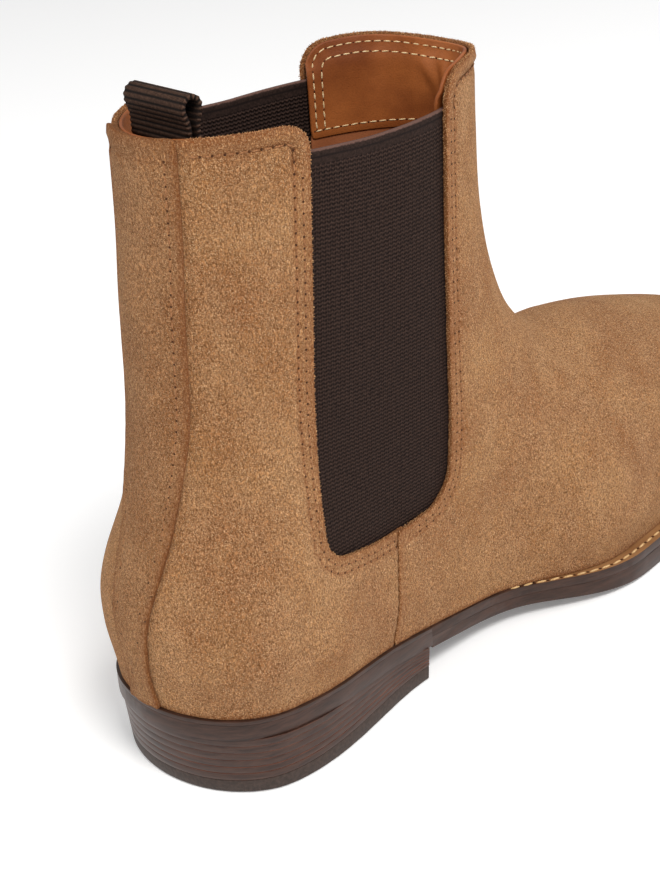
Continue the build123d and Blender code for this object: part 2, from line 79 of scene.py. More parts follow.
lamp("key", (-0.35, -0.75, 1.25), (0, 0, 0.06), 0.5, 14.0, (1.0, 0.985, 0.96))
lamp("fill_front", (0.95, -0.65, 0.75), (0.05, 0, 0.05), 0.8, 5.0, (0.97, 0.98, 1.0))
lamp("fill_back", (-0.9, 0.65, 0.8), (0, 0, 0.08), 0.7, 4.0)
world = bpy.data.worlds.new("studio")
world.use_nodes = True
world.node_tree.nodes["Background"].inputs["Color"].default_value = (1, 1, 1, 1)
world.node_tree.nodes["Background"].inputs["Strength"].default_value = 0.46
bpy.context.scene.world = world
bpy.context.scene.view_settings.view_transform = "Standard"
floor_mesh = bpy.data.meshes.new("floor")
floor_bm = bmesh.new()
bmesh.ops.create_grid(floor_bm, x_segments=1, y_segments=1, size=6.0)
floor_bm.to_mesh(floor_mesh)
floor_bm.free()
floor = bpy.data.objects.new("floor", floor_mesh)
bpy.context.scene.collection.objects.link(floor)
floor.data.transform(Matrix.Translation((0, 0, -0.0003)))
paper = bpy.data.materials.new("floor_paper")
paper.use_nodes = True
paper_shader = paper.node_tree.nodes["Principled BSDF"]
paper_shader.inputs["Base Color"].default_value = (0.93, 0.93, 0.93, 1)
paper_shader.inputs["Roughness"].default_value = 0.9
paper_shader.inputs["Emission Color"].default_value = (1, 1, 1, 1)
paper_shader.inputs["Emission Strength"].default_value = 0.17
floor.data.materials.append(paper)


# The last: the wooden form the upper is pulled over, here as closed loops round the boot that climb from
# the feather line (where the upper meets the sole) to above the collar. Stations are in millimetres from the
# back of the heel and the floor, as in the solid model; every skin of the upper is a copy of this surface.
ROW_ORIGIN = np.array((145.253, 5.717, -0.007))
TOE_TIP, TOE_ROUND_FROM, TOE_SWING, SWING_FROM = 288.0, 216.0, 11.0, 125.0
FEATHER = ((0, 24.2), (70, 16.9), (112, 12.0), (165, 9.2), (182, 9.0), (205, 9.0), (240, 11.0), (288, 19.0))
OUTER_HALF = (
    (0, 32.5), (33, 32.5), (74, 25.5), (112, 23.0), (158, 36.6), (176, 35.5), (200, 33.5), (222, 33.0),
)
INNER_HALF = (
    (0, 32.5), (33, 32.5), (74, 27.0), (112, 26.5), (158, 39.0), (188, 44.5), (210, 43.0), (222, 41.0),
)
HEEL_ROUND = 26.4  # rounding length behind, at the counter
HEEL_ROUND_GAIN = 22.9  # and what it gains up the shaft
SHAFT_ROUND = 51.7  # rounding length in front of the shaft
SOLE_TUCK = 0.09  # the upper tucks in by this share at the sole
HEEL_BACK = ((26, 1.2), (46, -0.4), (74, 7.7), (102, 12.4), (130, 14.6), (150, 16.6), (190, 18.5))
SHAFT_HALF = ((28, 32.5), (46, 27.0), (84, 26.6), (112, 27.7), (150, 29.1), (190, 30.0))
RIDGE = (
    (288.0, 19.0), (287.6, 27.5), (282.0, 35.6), (268.0, 44.8), (245.0, 55.8), (220.0, 65.2), (195.0, 73.2),
    (172.0, 78.6), (152.0, 82.6), (140.0, 94.4), (132.0, 111.0), (127.6, 131.0), (126.6, 153.0), (127.4, 190.0),
)
LOOPS = (
    (24.2, 0.0, 0.0), (29.0, 0.03, 0.04), (35.0, 0.07, 0.14), (42.0, 0.125, 0.3), (50.0, 0.19, 0.5),
    (59.0, 0.26, 0.72), (69.0, 0.34, 0.9), (80.0, 0.425, 1.0), (92.0, 0.51, 1.0), (105.0, 0.595, 1.0),
    (119.0, 0.68, 1.0), (134.0, 0.76, 1.0), (150.0, 0.835, 1.0), (169.0, 0.915, 1.0), (190.0, 1.0, 1.0),
)
SIDE_STEPS, RISE_STEPS = 190, 182
LOOP_SAG = 60.0  # the loops dip before the instep, so that they meet the ridge at an angle


def flow(stations, at):
    """A smooth curve through (position, value) stations that never overshoots them."""
    xs, ys = np.array(stations, float).T
    step, slope = np.diff(xs), np.diff(ys) / np.diff(xs)
    lean = np.zeros_like(ys)
    lean[0], lean[-1] = slope[0], slope[-1]
    same = slope[:-1] * slope[1:] > 0
    near, far = 2 * step[1:] + step[:-1], step[1:] + 2 * step[:-1]
    safe = np.where(same, slope[:-1], 1.0), np.where(same, slope[1:], 1.0)
    lean[1:-1] = np.where(same, (near + far) / (near / safe[0] + far / safe[1]), 0.0)
    at = np.asarray(at, float)
    i = np.clip(np.searchsorted(xs, at) - 1, 0, len(xs) - 2)
    t = (at - xs[i]) / step[i]
    u = np.clip(t, 0, 1)
    inside = (1 + 2 * u) * (1 - u) ** 2 * ys[i] + u * (1 - u) ** 2 * step[i] * lean[i]
    inside += u * u * (3 - 2 * u) * ys[i + 1] + u * u * (u - 1) * step[i] * lean[i + 1]
    past_end, before_start = (t - 1) * step[i] * lean[-1], t * step[i] * lean[0]
    return inside + np.where(t > 1, past_end, 0) + np.where(t < 0, before_start, 0)


def ease(start, end, at):
    t = np.clip((np.asarray(at, float) - start) / (end - start), 0, 1)
    return t * t * (3 - 2 * t)


def round_off(share, fullness=2.15):
    return np.sqrt(np.clip(1 - (1 - np.clip(share, 0, 1)) ** fullness, 0, 1))


def ridge_line(count=900):
    pts = np.array(RIDGE, float)
    along = np.concatenate([[0], np.cumsum(np.hypot(*np.diff(pts, axis=0).T))])
    lean = np.gradient(pts, along, axis=0)
    at = np.linspace(0, along[-1], count)
    i = np.clip(np.searchsorted(along, at) - 1, 0, len(pts) - 2)
    h = np.diff(along)[i][:, None]
    u = ((at - along[i]) / np.diff(along)[i])[:, None]
    low = (1 + 2 * u) * (1 - u) ** 2 * pts[i] + u * (1 - u) ** 2 * h * lean[i]
    return low + u * u * (3 - 2 * u) * pts[i + 1] + u * u * (u - 1) * h * lean[i + 1]


RIDGE_LINE = ridge_line()


def swing(x):
    return TOE_SWING * np.clip((np.asarray(x, float) - SWING_FROM) / (TOE_TIP - SWING_FROM), 0, 1) ** 1.5


def half_width(x, z, side):
    """Half width of the upper's outer surface at (x, z); side is -1 outer, +1 inner."""
    close = np.clip((x - TOE_ROUND_FROM) / (TOE_TIP - TOE_ROUND_FROM), 0, 1)
    half = flow(OUTER_HALF if side < 0 else INNER_HALF, np.minimum(x, TOE_ROUND_FROM))
    plan = half * np.sqrt(1 - close**2.05)
    rise = ease(35, 88, z)
    body = (1 - rise) * plan + rise * flow(SHAFT_HALF, z)
    heel = HEEL_ROUND + HEEL_ROUND_GAIN * ease(56, 112, z)
    behind = round_off((x - flow(HEEL_BACK, z)) / heel)
    gap = np.hypot(x[..., None] - RIDGE_LINE[:, 0], z[..., None] - RIDGE_LINE[:, 1]).min(-1)
    order = np.argsort(RIDGE_LINE[:, 0], kind="stable")
    top = np.interp(x, RIDGE_LINE[order, 0], RIDGE_LINE[order, 1])
    tall = np.maximum(top - flow(FEATHER, x), 1e-3)
    shaft = (1 - ease(138, 186, x)) * round_off(gap / SHAFT_ROUND)
    vamp = ease(138, 186, x) * round_off((top - z) / (0.75 * tall), 2.15 if side < 0 else 2.9)
    tucked = 1 - SOLE_TUCK + SOLE_TUCK * ease(0, 15, z - flow(FEATHER, x))
    return body * behind * (shaft + vamp) * tucked


def last_loop(back_z, share, risen):
    """One closed loop of evenly spaced surface points, from the back round the outer side."""
    front = np.interp(share * (len(RIDGE_LINE) - 1), np.arange(len(RIDGE_LINE)), RIDGE_LINE[:, 0])
    front_z = np.interp(share * (len(RIDGE_LINE) - 1), np.arange(len(RIDGE_LINE)), RIDGE_LINE[:, 1])
    back = float(flow(HEEL_BACK, back_z))
    t = (1 - np.cos(np.linspace(0, np.pi, 500))) / 2
    x = back + t * (front - back)
    dip = flow(FEATHER, x) - (FEATHER[0][1] + t * (float(flow(FEATHER, front)) - FEATHER[0][1]))
    z = back_z + t * (front_z - back_z) + (1 - risen) * dip
    z -= LOOP_SAG * ease(0.08, 0.34, share) * (1 - ease(0.62, 0.9, share)) * t**2 * (1 - t)
    halves = []
    for side in (-1, 1):
        pts = np.stack([x, side * half_width(x, z, side) + swing(x), z], -1)
        pts[0, 1], pts[-1, 1] = swing(back), swing(front)
        run = np.concatenate([[0], np.cumsum(np.linalg.norm(np.diff(pts, axis=0), axis=1))])
        even = np.linspace(0, run[-1], SIDE_STEPS + 1)
        halves.append(np.stack([np.interp(even, run, pts[:, k]) for k in range(3)], -1))
    return np.concatenate([halves[0][:-1], halves[1][::-1]])


loop_table = np.array(LOOPS)
loop_at = np.linspace(0, len(LOOPS) - 1.45, RISE_STEPS + 1)
loop_rows = [flow(tuple(zip(range(len(LOOPS)), loop_table[:, k])), loop_at) for k in range(3)]
LAST = np.array([last_loop(*row) for row in zip(*loop_rows)])
around = np.concatenate([LAST[:, 1:], LAST[:, 1:2]], 1) - np.concatenate([LAST[:, -2:-1], LAST[:, :-1]], 1)
LAST_NORMAL = np.cross(around, np.gradient(LAST, axis=0))
LAST_NORMAL /= np.linalg.norm(LAST_NORMAL, axis=2, keepdims=True)


# Upper panels: brushed suede 1.5 mm thick, cut to shape, lapped and stitched, then pulled over the last.
# The vamp and the front of the shaft are one piece; two quarters and a back strip close it behind.
def nap_group():
    """Nap of suede: soft patches where it lies over, strokes along it, and grain at fibre size.
    The grain's hollows carry painted shade and its fibre tips painted highlights.
    """
    group = bpy.data.node_groups.new("nap", "ShaderNodeTree")
    for name, kind in (("Place", "NodeSocketVector"), ("Dark", "NodeSocketColor"), ("Light", "NodeSocketColor"),
                       ("Tip", "NodeSocketColor"), ("Raw", "NodeSocketColor"), ("Edge", "NodeSocketFloat")):
        group.interface.new_socket(name, in_out="INPUT", socket_type=kind)
    group.interface.new_socket("Colour", in_out="OUTPUT", socket_type="NodeSocketColor")
    group.interface.new_socket("Height", in_out="OUTPUT", socket_type="NodeSocketFloat")
    start, end = group.nodes.new("NodeGroupInput"), group.nodes.new("NodeGroupOutput")
    patches = spread(group, noise(group, start.outputs["Place"], 42, 3.0, 0.55), 0.34, 0.66)
    brushed = spread(group, noise(group, start.outputs["Place"], 120, 3.0, 0.6, (1.0, 1.0, 0.45)), 0.32, 0.7)
    grain = spread(group, noise(group, start.outputs["Place"], 2250, 3.0, 0.75, (1.0, 0.8, 0.6)), 0.38, 0.61)
    fibre = spread(group, noise(group, start.outputs["Place"], 3600, 1.0, 0.5), 0.54, 0.7)
    broad = blend_colours(group, patches, start.outputs["Dark"], start.outputs["Light"])
    paler = blend_colours(group, None, broad, start.outputs["Tip"], 0.26)
    stroked = blend_colours(group, brushed, broad, paler)
    # Painted shade in the grain's hollows, a dark brown mix; below it, painted highlights on the fibre tips in
    # the tip colour.
    shadow = blend_colours(group, None, broad, (0.06, 0.016, 0.003), 0.74)
    grained = blend_colours(group, grain, shadow, stroked)
    lit = blend_colours(group, fibre, grained, blend_colours(group, None, grained, start.outputs["Tip"], 0.8))
    # Cut edges darken as wear; along the stitched rows the same darkening is painted shade in the furrows.
    faded_and_row_shaded = blend_colours(group, None, lit, start.outputs["Raw"], 0.3)
    rubbed_and_row_shaded = blend_colours(group, grain, start.outputs["Raw"], faded_and_row_shaded)
    tipped = blend_colours(group, start.outputs["Edge"], lit, rubbed_and_row_shaded)
    group.links.new(tipped, end.inputs["Colour"])
    group.links.new(grain, end.inputs["Height"])
    return group


def noise(tree, place, scale, detail, rough, stretch=None):
    if stretch:
        mapping = tree.nodes.new("ShaderNodeMapping")
        mapping.inputs["Scale"].default_value = stretch
        tree.links.new(place, mapping.inputs["Vector"])
        place = mapping.outputs["Vector"]
    node = tree.nodes.new("ShaderNodeTexNoise")
    node.inputs["Scale"].default_value = scale
    node.inputs["Detail"].default_value = detail
    node.inputs["Roughness"].default_value = rough
    tree.links.new(place, node.inputs["Vector"])
    return node.outputs["Fac"]


def spread(tree, value, low, high):
    ramp = tree.nodes.new("ShaderNodeMapRange")
    ramp.inputs["From Min"].default_value = low
    ramp.inputs["From Max"].default_value = high
    tree.links.new(value, ramp.inputs["Value"])
    return ramp.outputs["Result"]


def blend_colours(tree, mask, first, second, share=0.5):
    mix = tree.nodes.new("ShaderNodeMix")
    mix.data_type = "RGBA"
    if mask is None:
        mix.inputs["Factor"].default_value = share
    else:
        tree.links.new(mask, mix.inputs["Factor"])
    for socket, value in ((mix.inputs[6], first), (mix.inputs[7], second)):
        if isinstance(value, tuple):
            socket.default_value = (*value, 1)
        else:
            tree.links.new(value, socket)
    return mix.outputs[2]


def bump(tree, shader, height, distance, strength, after=None):
    node = tree.nodes.new("ShaderNodeBump")
    node.inputs["Distance"].default_value = distance
    node.inputs["Strength"].default_value = strength
    tree.links.new(height, node.inputs["Height"])
    if after:
        tree.links.new(after, node.inputs["Normal"])
    tree.links.new(node.outputs["Normal"], shader.inputs["Normal"])
    return node.outputs["Normal"]


def new_material(name, roughness, specular=0.5, sheen=0.0, sheen_tint=(1, 1, 1)):
    material = bpy.data.materials.new(name)
    material.use_nodes = True
    tree = material.node_tree
    shader = tree.nodes["Principled BSDF"]
    shader.inputs["Roughness"].default_value = roughness
    shader.inputs["Specular IOR Level"].default_value = specular
    shader.inputs["Sheen Weight"].default_value = sheen
    shader.inputs["Sheen Roughness"].default_value = 0.5
    shader.inputs["Sheen Tint"].default_value = (*sheen_tint, 1)
    place = tree.nodes.new("ShaderNodeTexCoord").outputs["Object"]
    return material, tree, shader, place


NAP = nap_group()


def suede_material(name, dark, light, tip, raw_and_row_shade, sheen=0.2):
    """Each panel carries its own per-vertex attribute: 1 at cut edges, which are worn darker, and along the
    rows of stitches, where the darkening is painted shade in their furrows.
    """
    material, tree, shader, place = new_material(name, 0.97, 0.1, sheen, (0.95, 0.66, 0.42))
    nap = tree.nodes.new("ShaderNodeGroup")
    nap.node_tree = NAP
    tree.links.new(place, nap.inputs["Place"])
    for socket, colour in (("Dark", dark), ("Light", light), ("Tip", tip), ("Raw", raw_and_row_shade)):
        nap.inputs[socket].default_value = (*colour, 1)
    # This attribute marks worn cut edges and painted shade along the stitched rows.
    edge_wear_and_row_shade = tree.nodes.new("ShaderNodeAttribute")
    edge_wear_and_row_shade.attribute_name = "edge_wear_and_row_shade"
    tree.links.new(edge_wear_and_row_shade.outputs["Fac"], nap.inputs["Edge"])
    tree.links.new(nap.outputs["Colour"], shader.inputs["Base Color"])
    bump(tree, shader, nap.outputs["Height"], 0.0004, 0.9)
    return material


# The fourth colour of each suede is for worn cut edges and for painted shade along the stitched rows.
suede = suede_material(
    "tan_suede", (0.4, 0.148, 0.044), (0.565, 0.268, 0.1), (0.84, 0.53, 0.29), (0.26, 0.075, 0.018)
)
strip_suede = suede_material(
    "back_strip_suede", (0.32, 0.12, 0.037), (0.47, 0.215, 0.082), (0.7, 0.43, 0.23), (0.22, 0.065, 0.016)
)
raw_suede = suede_material(
    "raw_suede_edge", (0.26, 0.085, 0.024), (0.46, 0.2, 0.07), (0.62, 0.34, 0.15), (0.22, 0.07, 0.02), 0.1
)


def rounded_path(corners, step=1.5):
    """Points (x, z) along straight runs whose corners (x, z, radius) are rounded."""
    pts = [np.array(corners[0][:2], float)]
    for before, here, after in zip(corners, corners[1:], corners[2:]):
        corner = np.array(here[:2], float)
        back = np.array(before[:2], float) - corner
        on = np.array(after[:2], float) - corner
        back /= np.linalg.norm(back)
        on /= np.linalg.norm(on)
        half_turn = 0.5 * math.acos(np.clip(back @ on, -1, 1))
        reach = here[2] / math.tan(half_turn)
        centre = corner + (back + on) / np.linalg.norm(back + on) * here[2] / math.sin(half_turn)
        first, last = corner + back * reach - centre, corner + on * reach - centre
        turn = math.pi - 2 * half_turn
        count = max(3, int(turn * here[2] / step) + 2)
        for share in np.linspace(0, 1, count):
            swept = first * math.sin((1 - share) * turn) + last * math.sin(share * turn)
            pts.append(centre + swept / math.sin(turn))
    pts.append(np.array(corners[-1][:2], float))
    return np.array(pts)


UPPER_EDGE = rounded_path((
    (-40, 173, 0), (49.2, 173, 6), (43.2, 58, 8), (68, 52.6, 90), (93.6, 54, 11), (96.4, 173, 8),
    (117, 174.2, 60), (150, 165.5, 0),
))


def beyond(path, x, z):
    """Distance from an (x, z) path, positive on its right-hand side."""
    x, z = np.asarray(x, float), np.asarray(z, float)
    best, signed = np.full(x.shape, 1e9), np.zeros(x.shape)
    for a, b in zip(path, path[1:]):
        run = b - a
        t = np.clip(((x - a[0]) * run[0] + (z - a[1]) * run[1]) / (run @ run), 0, 1)
        gap = np.hypot(x - a[0] - t * run[0], z - a[1] - t * run[1])
        right_hand = (x - a[0]) * run[1] - (z - a[1]) * run[0]
        signed = np.where(gap < best - 1e-9, np.sign(right_hand) * gap, signed)
        best = np.minimum(best, gap)
    return signed


def snap_to_outline(points, keep):
    """Moves the grid points beside an outline onto it; returns them with keep, zero where moved."""
    moved, value = points.copy(), keep.copy()
    best = np.full(keep.shape, 0.5001)
    for axis in (0, 1):
        count = keep.shape[axis]
        near = tuple(slice(0, count - 1) if k == axis else slice(None) for k in (0, 1))
        far = tuple(slice(1, count) if k == axis else slice(None) for k in (0, 1))
        crosses = keep[near] * keep[far] < 0
        share = np.where(crosses, keep[near] / np.where(crosses, keep[near] - keep[far], 1), 1)
        for here, there, part in ((near, far, share), (far, near, 1 - share)):
            take = crosses & (part < best[here])
            target = points[here] + (points[there] - points[here]) * part[..., None]
            moved[here] = np.where(take[..., None], target, moved[here])
            value[here] = np.where(take, 0.0, value[here])
            best[here] = np.where(take, part, best[here])
    return moved, value


ROUND_FROM_BACK = np.arange(-190, 191) % 380
OUTER_SIDE, INNER_SIDE, BOTH_SIDES = np.arange(0, 191), np.arange(190, 381), np.arange(0, 381)


def skin(name, columns, keep, depth, thickness, materials, edge_round=0.4, lift=None):
    """A panel of the last's surface, depth (mm) under it and of that thickness, where keep is positive."""
    surface, normal = LAST[:, columns], LAST_NORMAL[:, columns]
    x, y, z = surface[..., 0], surface[..., 1], surface[..., 2]
    raised = -depth + (lift(x, y, z) if lift else 0 * x)
    points, value = snap_to_outline(surface + raised[..., None] * normal, keep(x, y, z))
    rows, cols = np.nonzero(value > 0)
    span = (slice(max(rows.min() - 1, 0), rows.max() + 2), slice(max(cols.min() - 1, 0), cols.max() + 2))
    points, value = points[span], value[span]
    bm = bmesh.new()
    # Per-vertex mark of worn cut edges and of painted shade along the stitched rows.
    edge_wear_and_row_shade = bm.verts.layers.float.new("edge_wear_and_row_shade")
    bmesh.ops.create_grid(bm, x_segments=value.shape[1] - 1, y_segments=value.shape[0] - 1, size=1)
    places = ((points.reshape(-1, 3) - ROW_ORIGIN) * MM).tolist()
    within = dict(zip(bm.verts, value.reshape(-1).tolist()))
    for vert, mark in zip(bm.verts, edge_wear_and_row_shading(x[span], y[span], z[span], value).reshape(-1).tolist()):
        vert[edge_wear_and_row_shade] = mark
    for vert, place in zip(bm.verts, places):
        vert.co = place
    for face in list(bm.faces):
        zeros = [vert for vert in face.verts if within[vert] == 0]
        values = [within[vert] for vert in face.verts]
        if len(zeros) == 2 and min(values) < 0 < max(values):
            bmesh.utils.face_split(face, *zeros)
    ranges = [(face, [within[vert] for vert in face.verts]) for face in bm.faces]
    cut = [face for face, values in ranges if min(values) < 0 or max(values) <= 0]
    bmesh.ops.delete(bm, geom=cut, context="FACES")
    bmesh.ops.remove_doubles(bm, verts=bm.verts, dist=3e-5)
    bmesh.ops.dissolve_degenerate(bm, edges=bm.edges, dist=3e-5)
    bmesh.ops.recalc_face_normals(bm, faces=bm.faces)
    middle = Vector(((surface.reshape(-1, 3).mean(0) - ROW_ORIGIN) * MM).tolist())
    middle.z = 0.06
    if sum(face.normal.dot(face.calc_center_median() - middle) for face in bm.faces) < 0:
        bmesh.ops.reverse_faces(bm, faces=bm.faces)
    finish_sheet(bm, thickness, edge_round)
    return new_piece(name, bm, materials)


def edge_wear_and_row_shading(x, y, z, inside):
    """1 at a panel's cut edges, which are worn darker, and along its stitched rows, where the darkening is
    painted shade in their furrows; fading within a millimetre or two.
    """
    edge = beyond(UPPER_EDGE, x, z)
    # The rows are where the colour is darkened as painted shade in the stitch furrows.
    rows = 0.75 * near_line(edge - 4.3, 0.8) + 0.4 * near_line(edge - 2.2, 0.7)
    return np.clip(near_line(np.maximum(inside, 0), 1.3) + rows * (inside > 0.5), 0, 1)


def near_line(distance, width):
    return np.exp(-((distance / width) ** 2))


def finish_sheet(bm, thickness, edge_round):
    """Gives an open sheet its thickness inward and rounds its cut edges."""
    outer_faces = list(bm.faces)
    for face in outer_faces:
        face.material_index = 0
    bmesh.ops.solidify(bm, geom=outer_faces, thickness=thickness * MM)
    bm.normal_update()
    corner = [edge for edge in bm.edges if len(edge.link_faces) == 2 and edge.calc_face_angle(0) > 0.9]
    sharp = set(corner)
    for edge in corner:
        for face in edge.link_faces:
            if sum(1 for side in face.edges if side in sharp) >= 2:
                face.material_index = 1
    if edge_round:
        bmesh.ops.bevel(
            bm, geom=corner, offset=edge_round * MM, segments=2, profile=0.5, affect="EDGES", material=-1,
            clamp_overlap=True,
        )
    for face in bm.faces:
        face.smooth = True


def new_piece(name, bm, materials):
    mesh = bpy.data.meshes.new(name)
    bm.to_mesh(mesh)
    bm.free()
    for material in materials:
        mesh.materials.append(material)
    obj = bpy.data.objects.new(name, mesh)
    bpy.context.scene.collection.objects.link(obj)
    return obj


SEAM_LAP = 4.0  # the quarters run this far under the vamp at the side seam
SEAM_PATH = np.array(((72.4, 70.0), (72.0, 60.0), (69.6, 0.0), (69.4, -10.0)))
STRIP_HALF = ((20, 6.4), (33, 4.6), (45, 6.0), (63, 8.5), (86, 10.8), (105, 12.0), (180, 12.2))


def above_feather(x, z):
    return z - flow(FEATHER, x) + 0.02


def panel_edge(x, z):
    return np.minimum(beyond(UPPER_EDGE, x, z), above_feather(x, z))


def vamp_keep(x, y, z):
    return np.minimum(panel_edge(x, z), -beyond(SEAM_PATH, x, z))


def stitched_dent(x, z):
    """Rows of stitches pull the suede down in two shallow furrows beside the gore window."""
    edge = beyond(UPPER_EDGE, x, z)
    collar = ease(160, 168, z)
    lip = collar * 0.45 * near_line(edge - 2.0, 1.5) - (1 - collar) * 0.2 * near_line(edge - 2.2, 0.8)
    return lip - (0.35 + 0.5 * collar) * near_line(edge - 4.3, 0.9) - 0.2 * near_line(edge, 0.6)


CREASES = (  # across the instep: place (x, z), direction of the fold, length and depth in millimetres
    ((126, 84), (0.83, -0.55), 26, 0.55), ((137, 72), (0.9, -0.42), 30, 0.5),
    ((119, 96), (0.72, -0.69), 20, 0.4),
    ((151, 62), (0.95, -0.3), 26, 0.35),
)


def creases(x, z):
    height = np.zeros_like(x)
    for (cx, cz), (dx, dz), length, depth in CREASES:
        along = (x - cx) * dx + (z - cz) * dz
        across = (x - cx) * -dz + (z - cz) * dx
        height += depth * near_line(along, length) * (near_line(across - 3.2, 2.6) - near_line(across, 2.0))
    return height


def vamp_lift(x, y, z):
    lap = 0.35 * (1 - ease(2, 9, -beyond(SEAM_PATH, x, z))) * (z < 75) * (x < 90)
    seam_rows = -0.2 * near_line(-beyond(SEAM_PATH, x, z) - 2.4, 0.8) * (z < 60)
    return lap + seam_rows + stitched_dent(x, z) + creases(x, z)


vamp = skin("vamp_suede", BOTH_SIDES, vamp_keep, 0.0, 1.5, (suede, raw_suede), 0.4, vamp_lift)
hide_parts("vamp", "front_shaft")
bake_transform(vamp)


def quarter_keep(sign):
    def keep(x, y, z):
        beside = sign * (y - swing(x)) - 2.5
        return np.minimum(np.minimum(panel_edge(x, z), SEAM_LAP + beyond(SEAM_PATH, x, z)), beside)
    return keep


def quarter_lift(x, y, z):
    under = -1.25 * ease(-0.4, 1.3, -beyond(SEAM_PATH, x, z)) * (z < 75)
    return stitched_dent(x, z) * (x < 75) + under * (x < 90)


for side_name, columns, sign in (("outer", OUTER_SIDE, -1), ("inner", INNER_SIDE, 1)):
    quarter = skin(
        f"quarter_{side_name}_suede", columns, quarter_keep(sign),
        0.0, 1.5, (suede, raw_suede), 0.4, quarter_lift,
    )
    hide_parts(f"quarter_{side_name}")
    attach(quarter, "boot")


COLLAR = 173.0


def strip_keep(x, y, z):
    beside = flow(STRIP_HALF, z) - np.abs(y - swing(x))
    near_back = np.where(x < 60, beside, -5.0)
    return np.minimum(np.minimum(near_back, COLLAR + 0.4 - z), above_feather(x, z))


def strip_lift(x, y, z):
    inward = flow(STRIP_HALF, z) - np.abs(y - swing(x))
    furrow = 0.3 * near_line(inward - 2.6, 0.8)
    seam_dent = 0.55 * stitched_dent(x, z) * (z > 150)
    return -furrow - 0.2 * near_line(inward, 0.6) + seam_dent


strip = skin(
    "back_strip_suede", ROUND_FROM_BACK, strip_keep, -1.4, 1.35, (strip_suede, raw_suede), 0.4, strip_lift
)
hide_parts("back_strip")
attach(strip, "boot")


# Elastic gores: ribbed knitted elastic with rubber threads running up it, sewn between suede and lining on both
# sides. Its top is the woven selvedge, left free. It stretches as the front of the shaft opens, while its foot
# and its rear edge stay with the quarters.
GORE_DEPTH, GORE_THICK, GORE_TUCK, GORE_TUCK_LOW = 1.65, 1.0, 6.0, 9.0
GORE_TOP = ((30, 166), (48.8, 165.2), (70, 164), (96.4, 163.8), (115, 164.6))
GORE_REAR, GORE_FRONT = ((50, 43.0), (58, 43.2), (173, 49.2)), ((50, 93.5), (54, 93.6), (173, 96.4))
GORE_LOW = ((36, 57.0), (43, 55.5), (68, 52.9), (93, 53.6), (104, 54.0))
GORE_RIBS, RIB_HEIGHT, ROW_PITCH = 40, 0.12, 1.05


def on_side(x, z, side, depth=0.0):
    """Places and outward directions on one side of the last, depth (mm) under its surface."""
    x, z = np.asarray(x, float), np.asarray(z, float)
    place = np.stack([x, side * half_width(x, z, side) + swing(x), z], -1)
    step = 0.4
    lean_x = (half_width(x + step, z, side) - half_width(x - step, z, side)) / (2 * step)
    lean_z = (half_width(x, z + step, side) - half_width(x, z - step, side)) / (2 * step)
    lean_x = lean_x + side * (swing(x + step) - swing(x - step)) / (2 * step)
    out = np.stack([-lean_x, side * np.ones_like(x), -lean_z], -1)
    out /= np.linalg.norm(out, axis=-1, keepdims=True)
    return place - depth * out, out


def in_frame(places):
    return (np.asarray(places) - ROW_ORIGIN) * MM


def elastic_material():
    """Colour and cell relief from the sheet's own map: u counts ribs, v is millimetres below the selvedge."""
    material, tree, shader, place = new_material("ribbed_elastic", 0.9, 0.12)
    across, down = tree.nodes.new("ShaderNodeSeparateXYZ"), tree.nodes.new("ShaderNodeUVMap")
    down.uv_map = "UVMap"
    tree.links.new(down.outputs["UV"], across.inputs["Vector"])
    ribs, below = across.outputs["X"], across.outputs["Y"]
    zigzag = calculate(tree, "PINGPONG", ribs, 0.5)
    row_count = calculate(tree, "DIVIDE", below, ROW_PITCH)
    slanted = calculate(tree, "ADD", row_count, calculate(tree, "MULTIPLY", zigzag, 0.8))
    cells = calculate(tree, "SINE", calculate(tree, "MULTIPLY", slanted, 2 * math.pi))
    speckle = noise(tree, place, 1500, 2.0, 0.6)
    columns = calculate(tree, "COSINE", calculate(tree, "MULTIPLY", ribs, 4 * math.pi))
    # Painted light and shade: the knit's cells and rib columns lighten and darken the colour as light on their
    # relief would; the speckle is the yarn's own tone.
    lit_cells = calculate(tree, "MULTIPLY", cells, 0.3)
    light = calculate(tree, "ADD", lit_cells, calculate(tree, "MULTIPLY", columns, 0.14))
    light = calculate(tree, "ADD", light, calculate(tree, "MULTIPLY", speckle, 1.1))
    knit = blend_colours(tree, spread(tree, light, 0.15, 1.15), (0.007, 0.0035, 0.003), (0.055, 0.031, 0.023))
    in_band = spread(tree, below, 3.9, 3.5)
    band = blend_colours(tree, spread(tree, speckle, 0.3, 0.7), (0.014, 0.008, 0.006), (0.034, 0.019, 0.015))
    line = calculate(tree, "MULTIPLY", spread(tree, below, 1.5, 1.7), spread(tree, below, 2.2, 2.0))
    lined = blend_colours(tree, line, band, (0.012, 0.007, 0.006))
    edge = spread(tree, calculate(tree, "ADD", below, calculate(tree, "MULTIPLY", speckle, 0.8)), 0.95, 0.6)
    frayed = blend_colours(tree, edge, lined, (0.13, 0.07, 0.055))
    tree.links.new(blend_colours(tree, in_band, knit, frayed), shader.inputs["Base Color"])
    relief = calculate(tree, "MULTIPLY", cells, calculate(tree, "SUBTRACT", 1.0, in_band))
    bump(tree, shader, calculate(tree, "ADD", relief, speckle), 0.00016, 0.8)
    return material


def calculate(tree, operation, first, second=None):
    node = tree.nodes.new("ShaderNodeMath")
    node.operation = operation
    for socket, value in zip(node.inputs, (first, second)):
        if isinstance(value, (int, float)):
            socket.default_value = value
        elif value is not None:
            tree.links.new(value, socket)
    return node.outputs["Value"]


elastic = elastic_material()
GORE_STEPS_ACROSS, GORE_STEPS_UP = GORE_RIBS * 4, 110


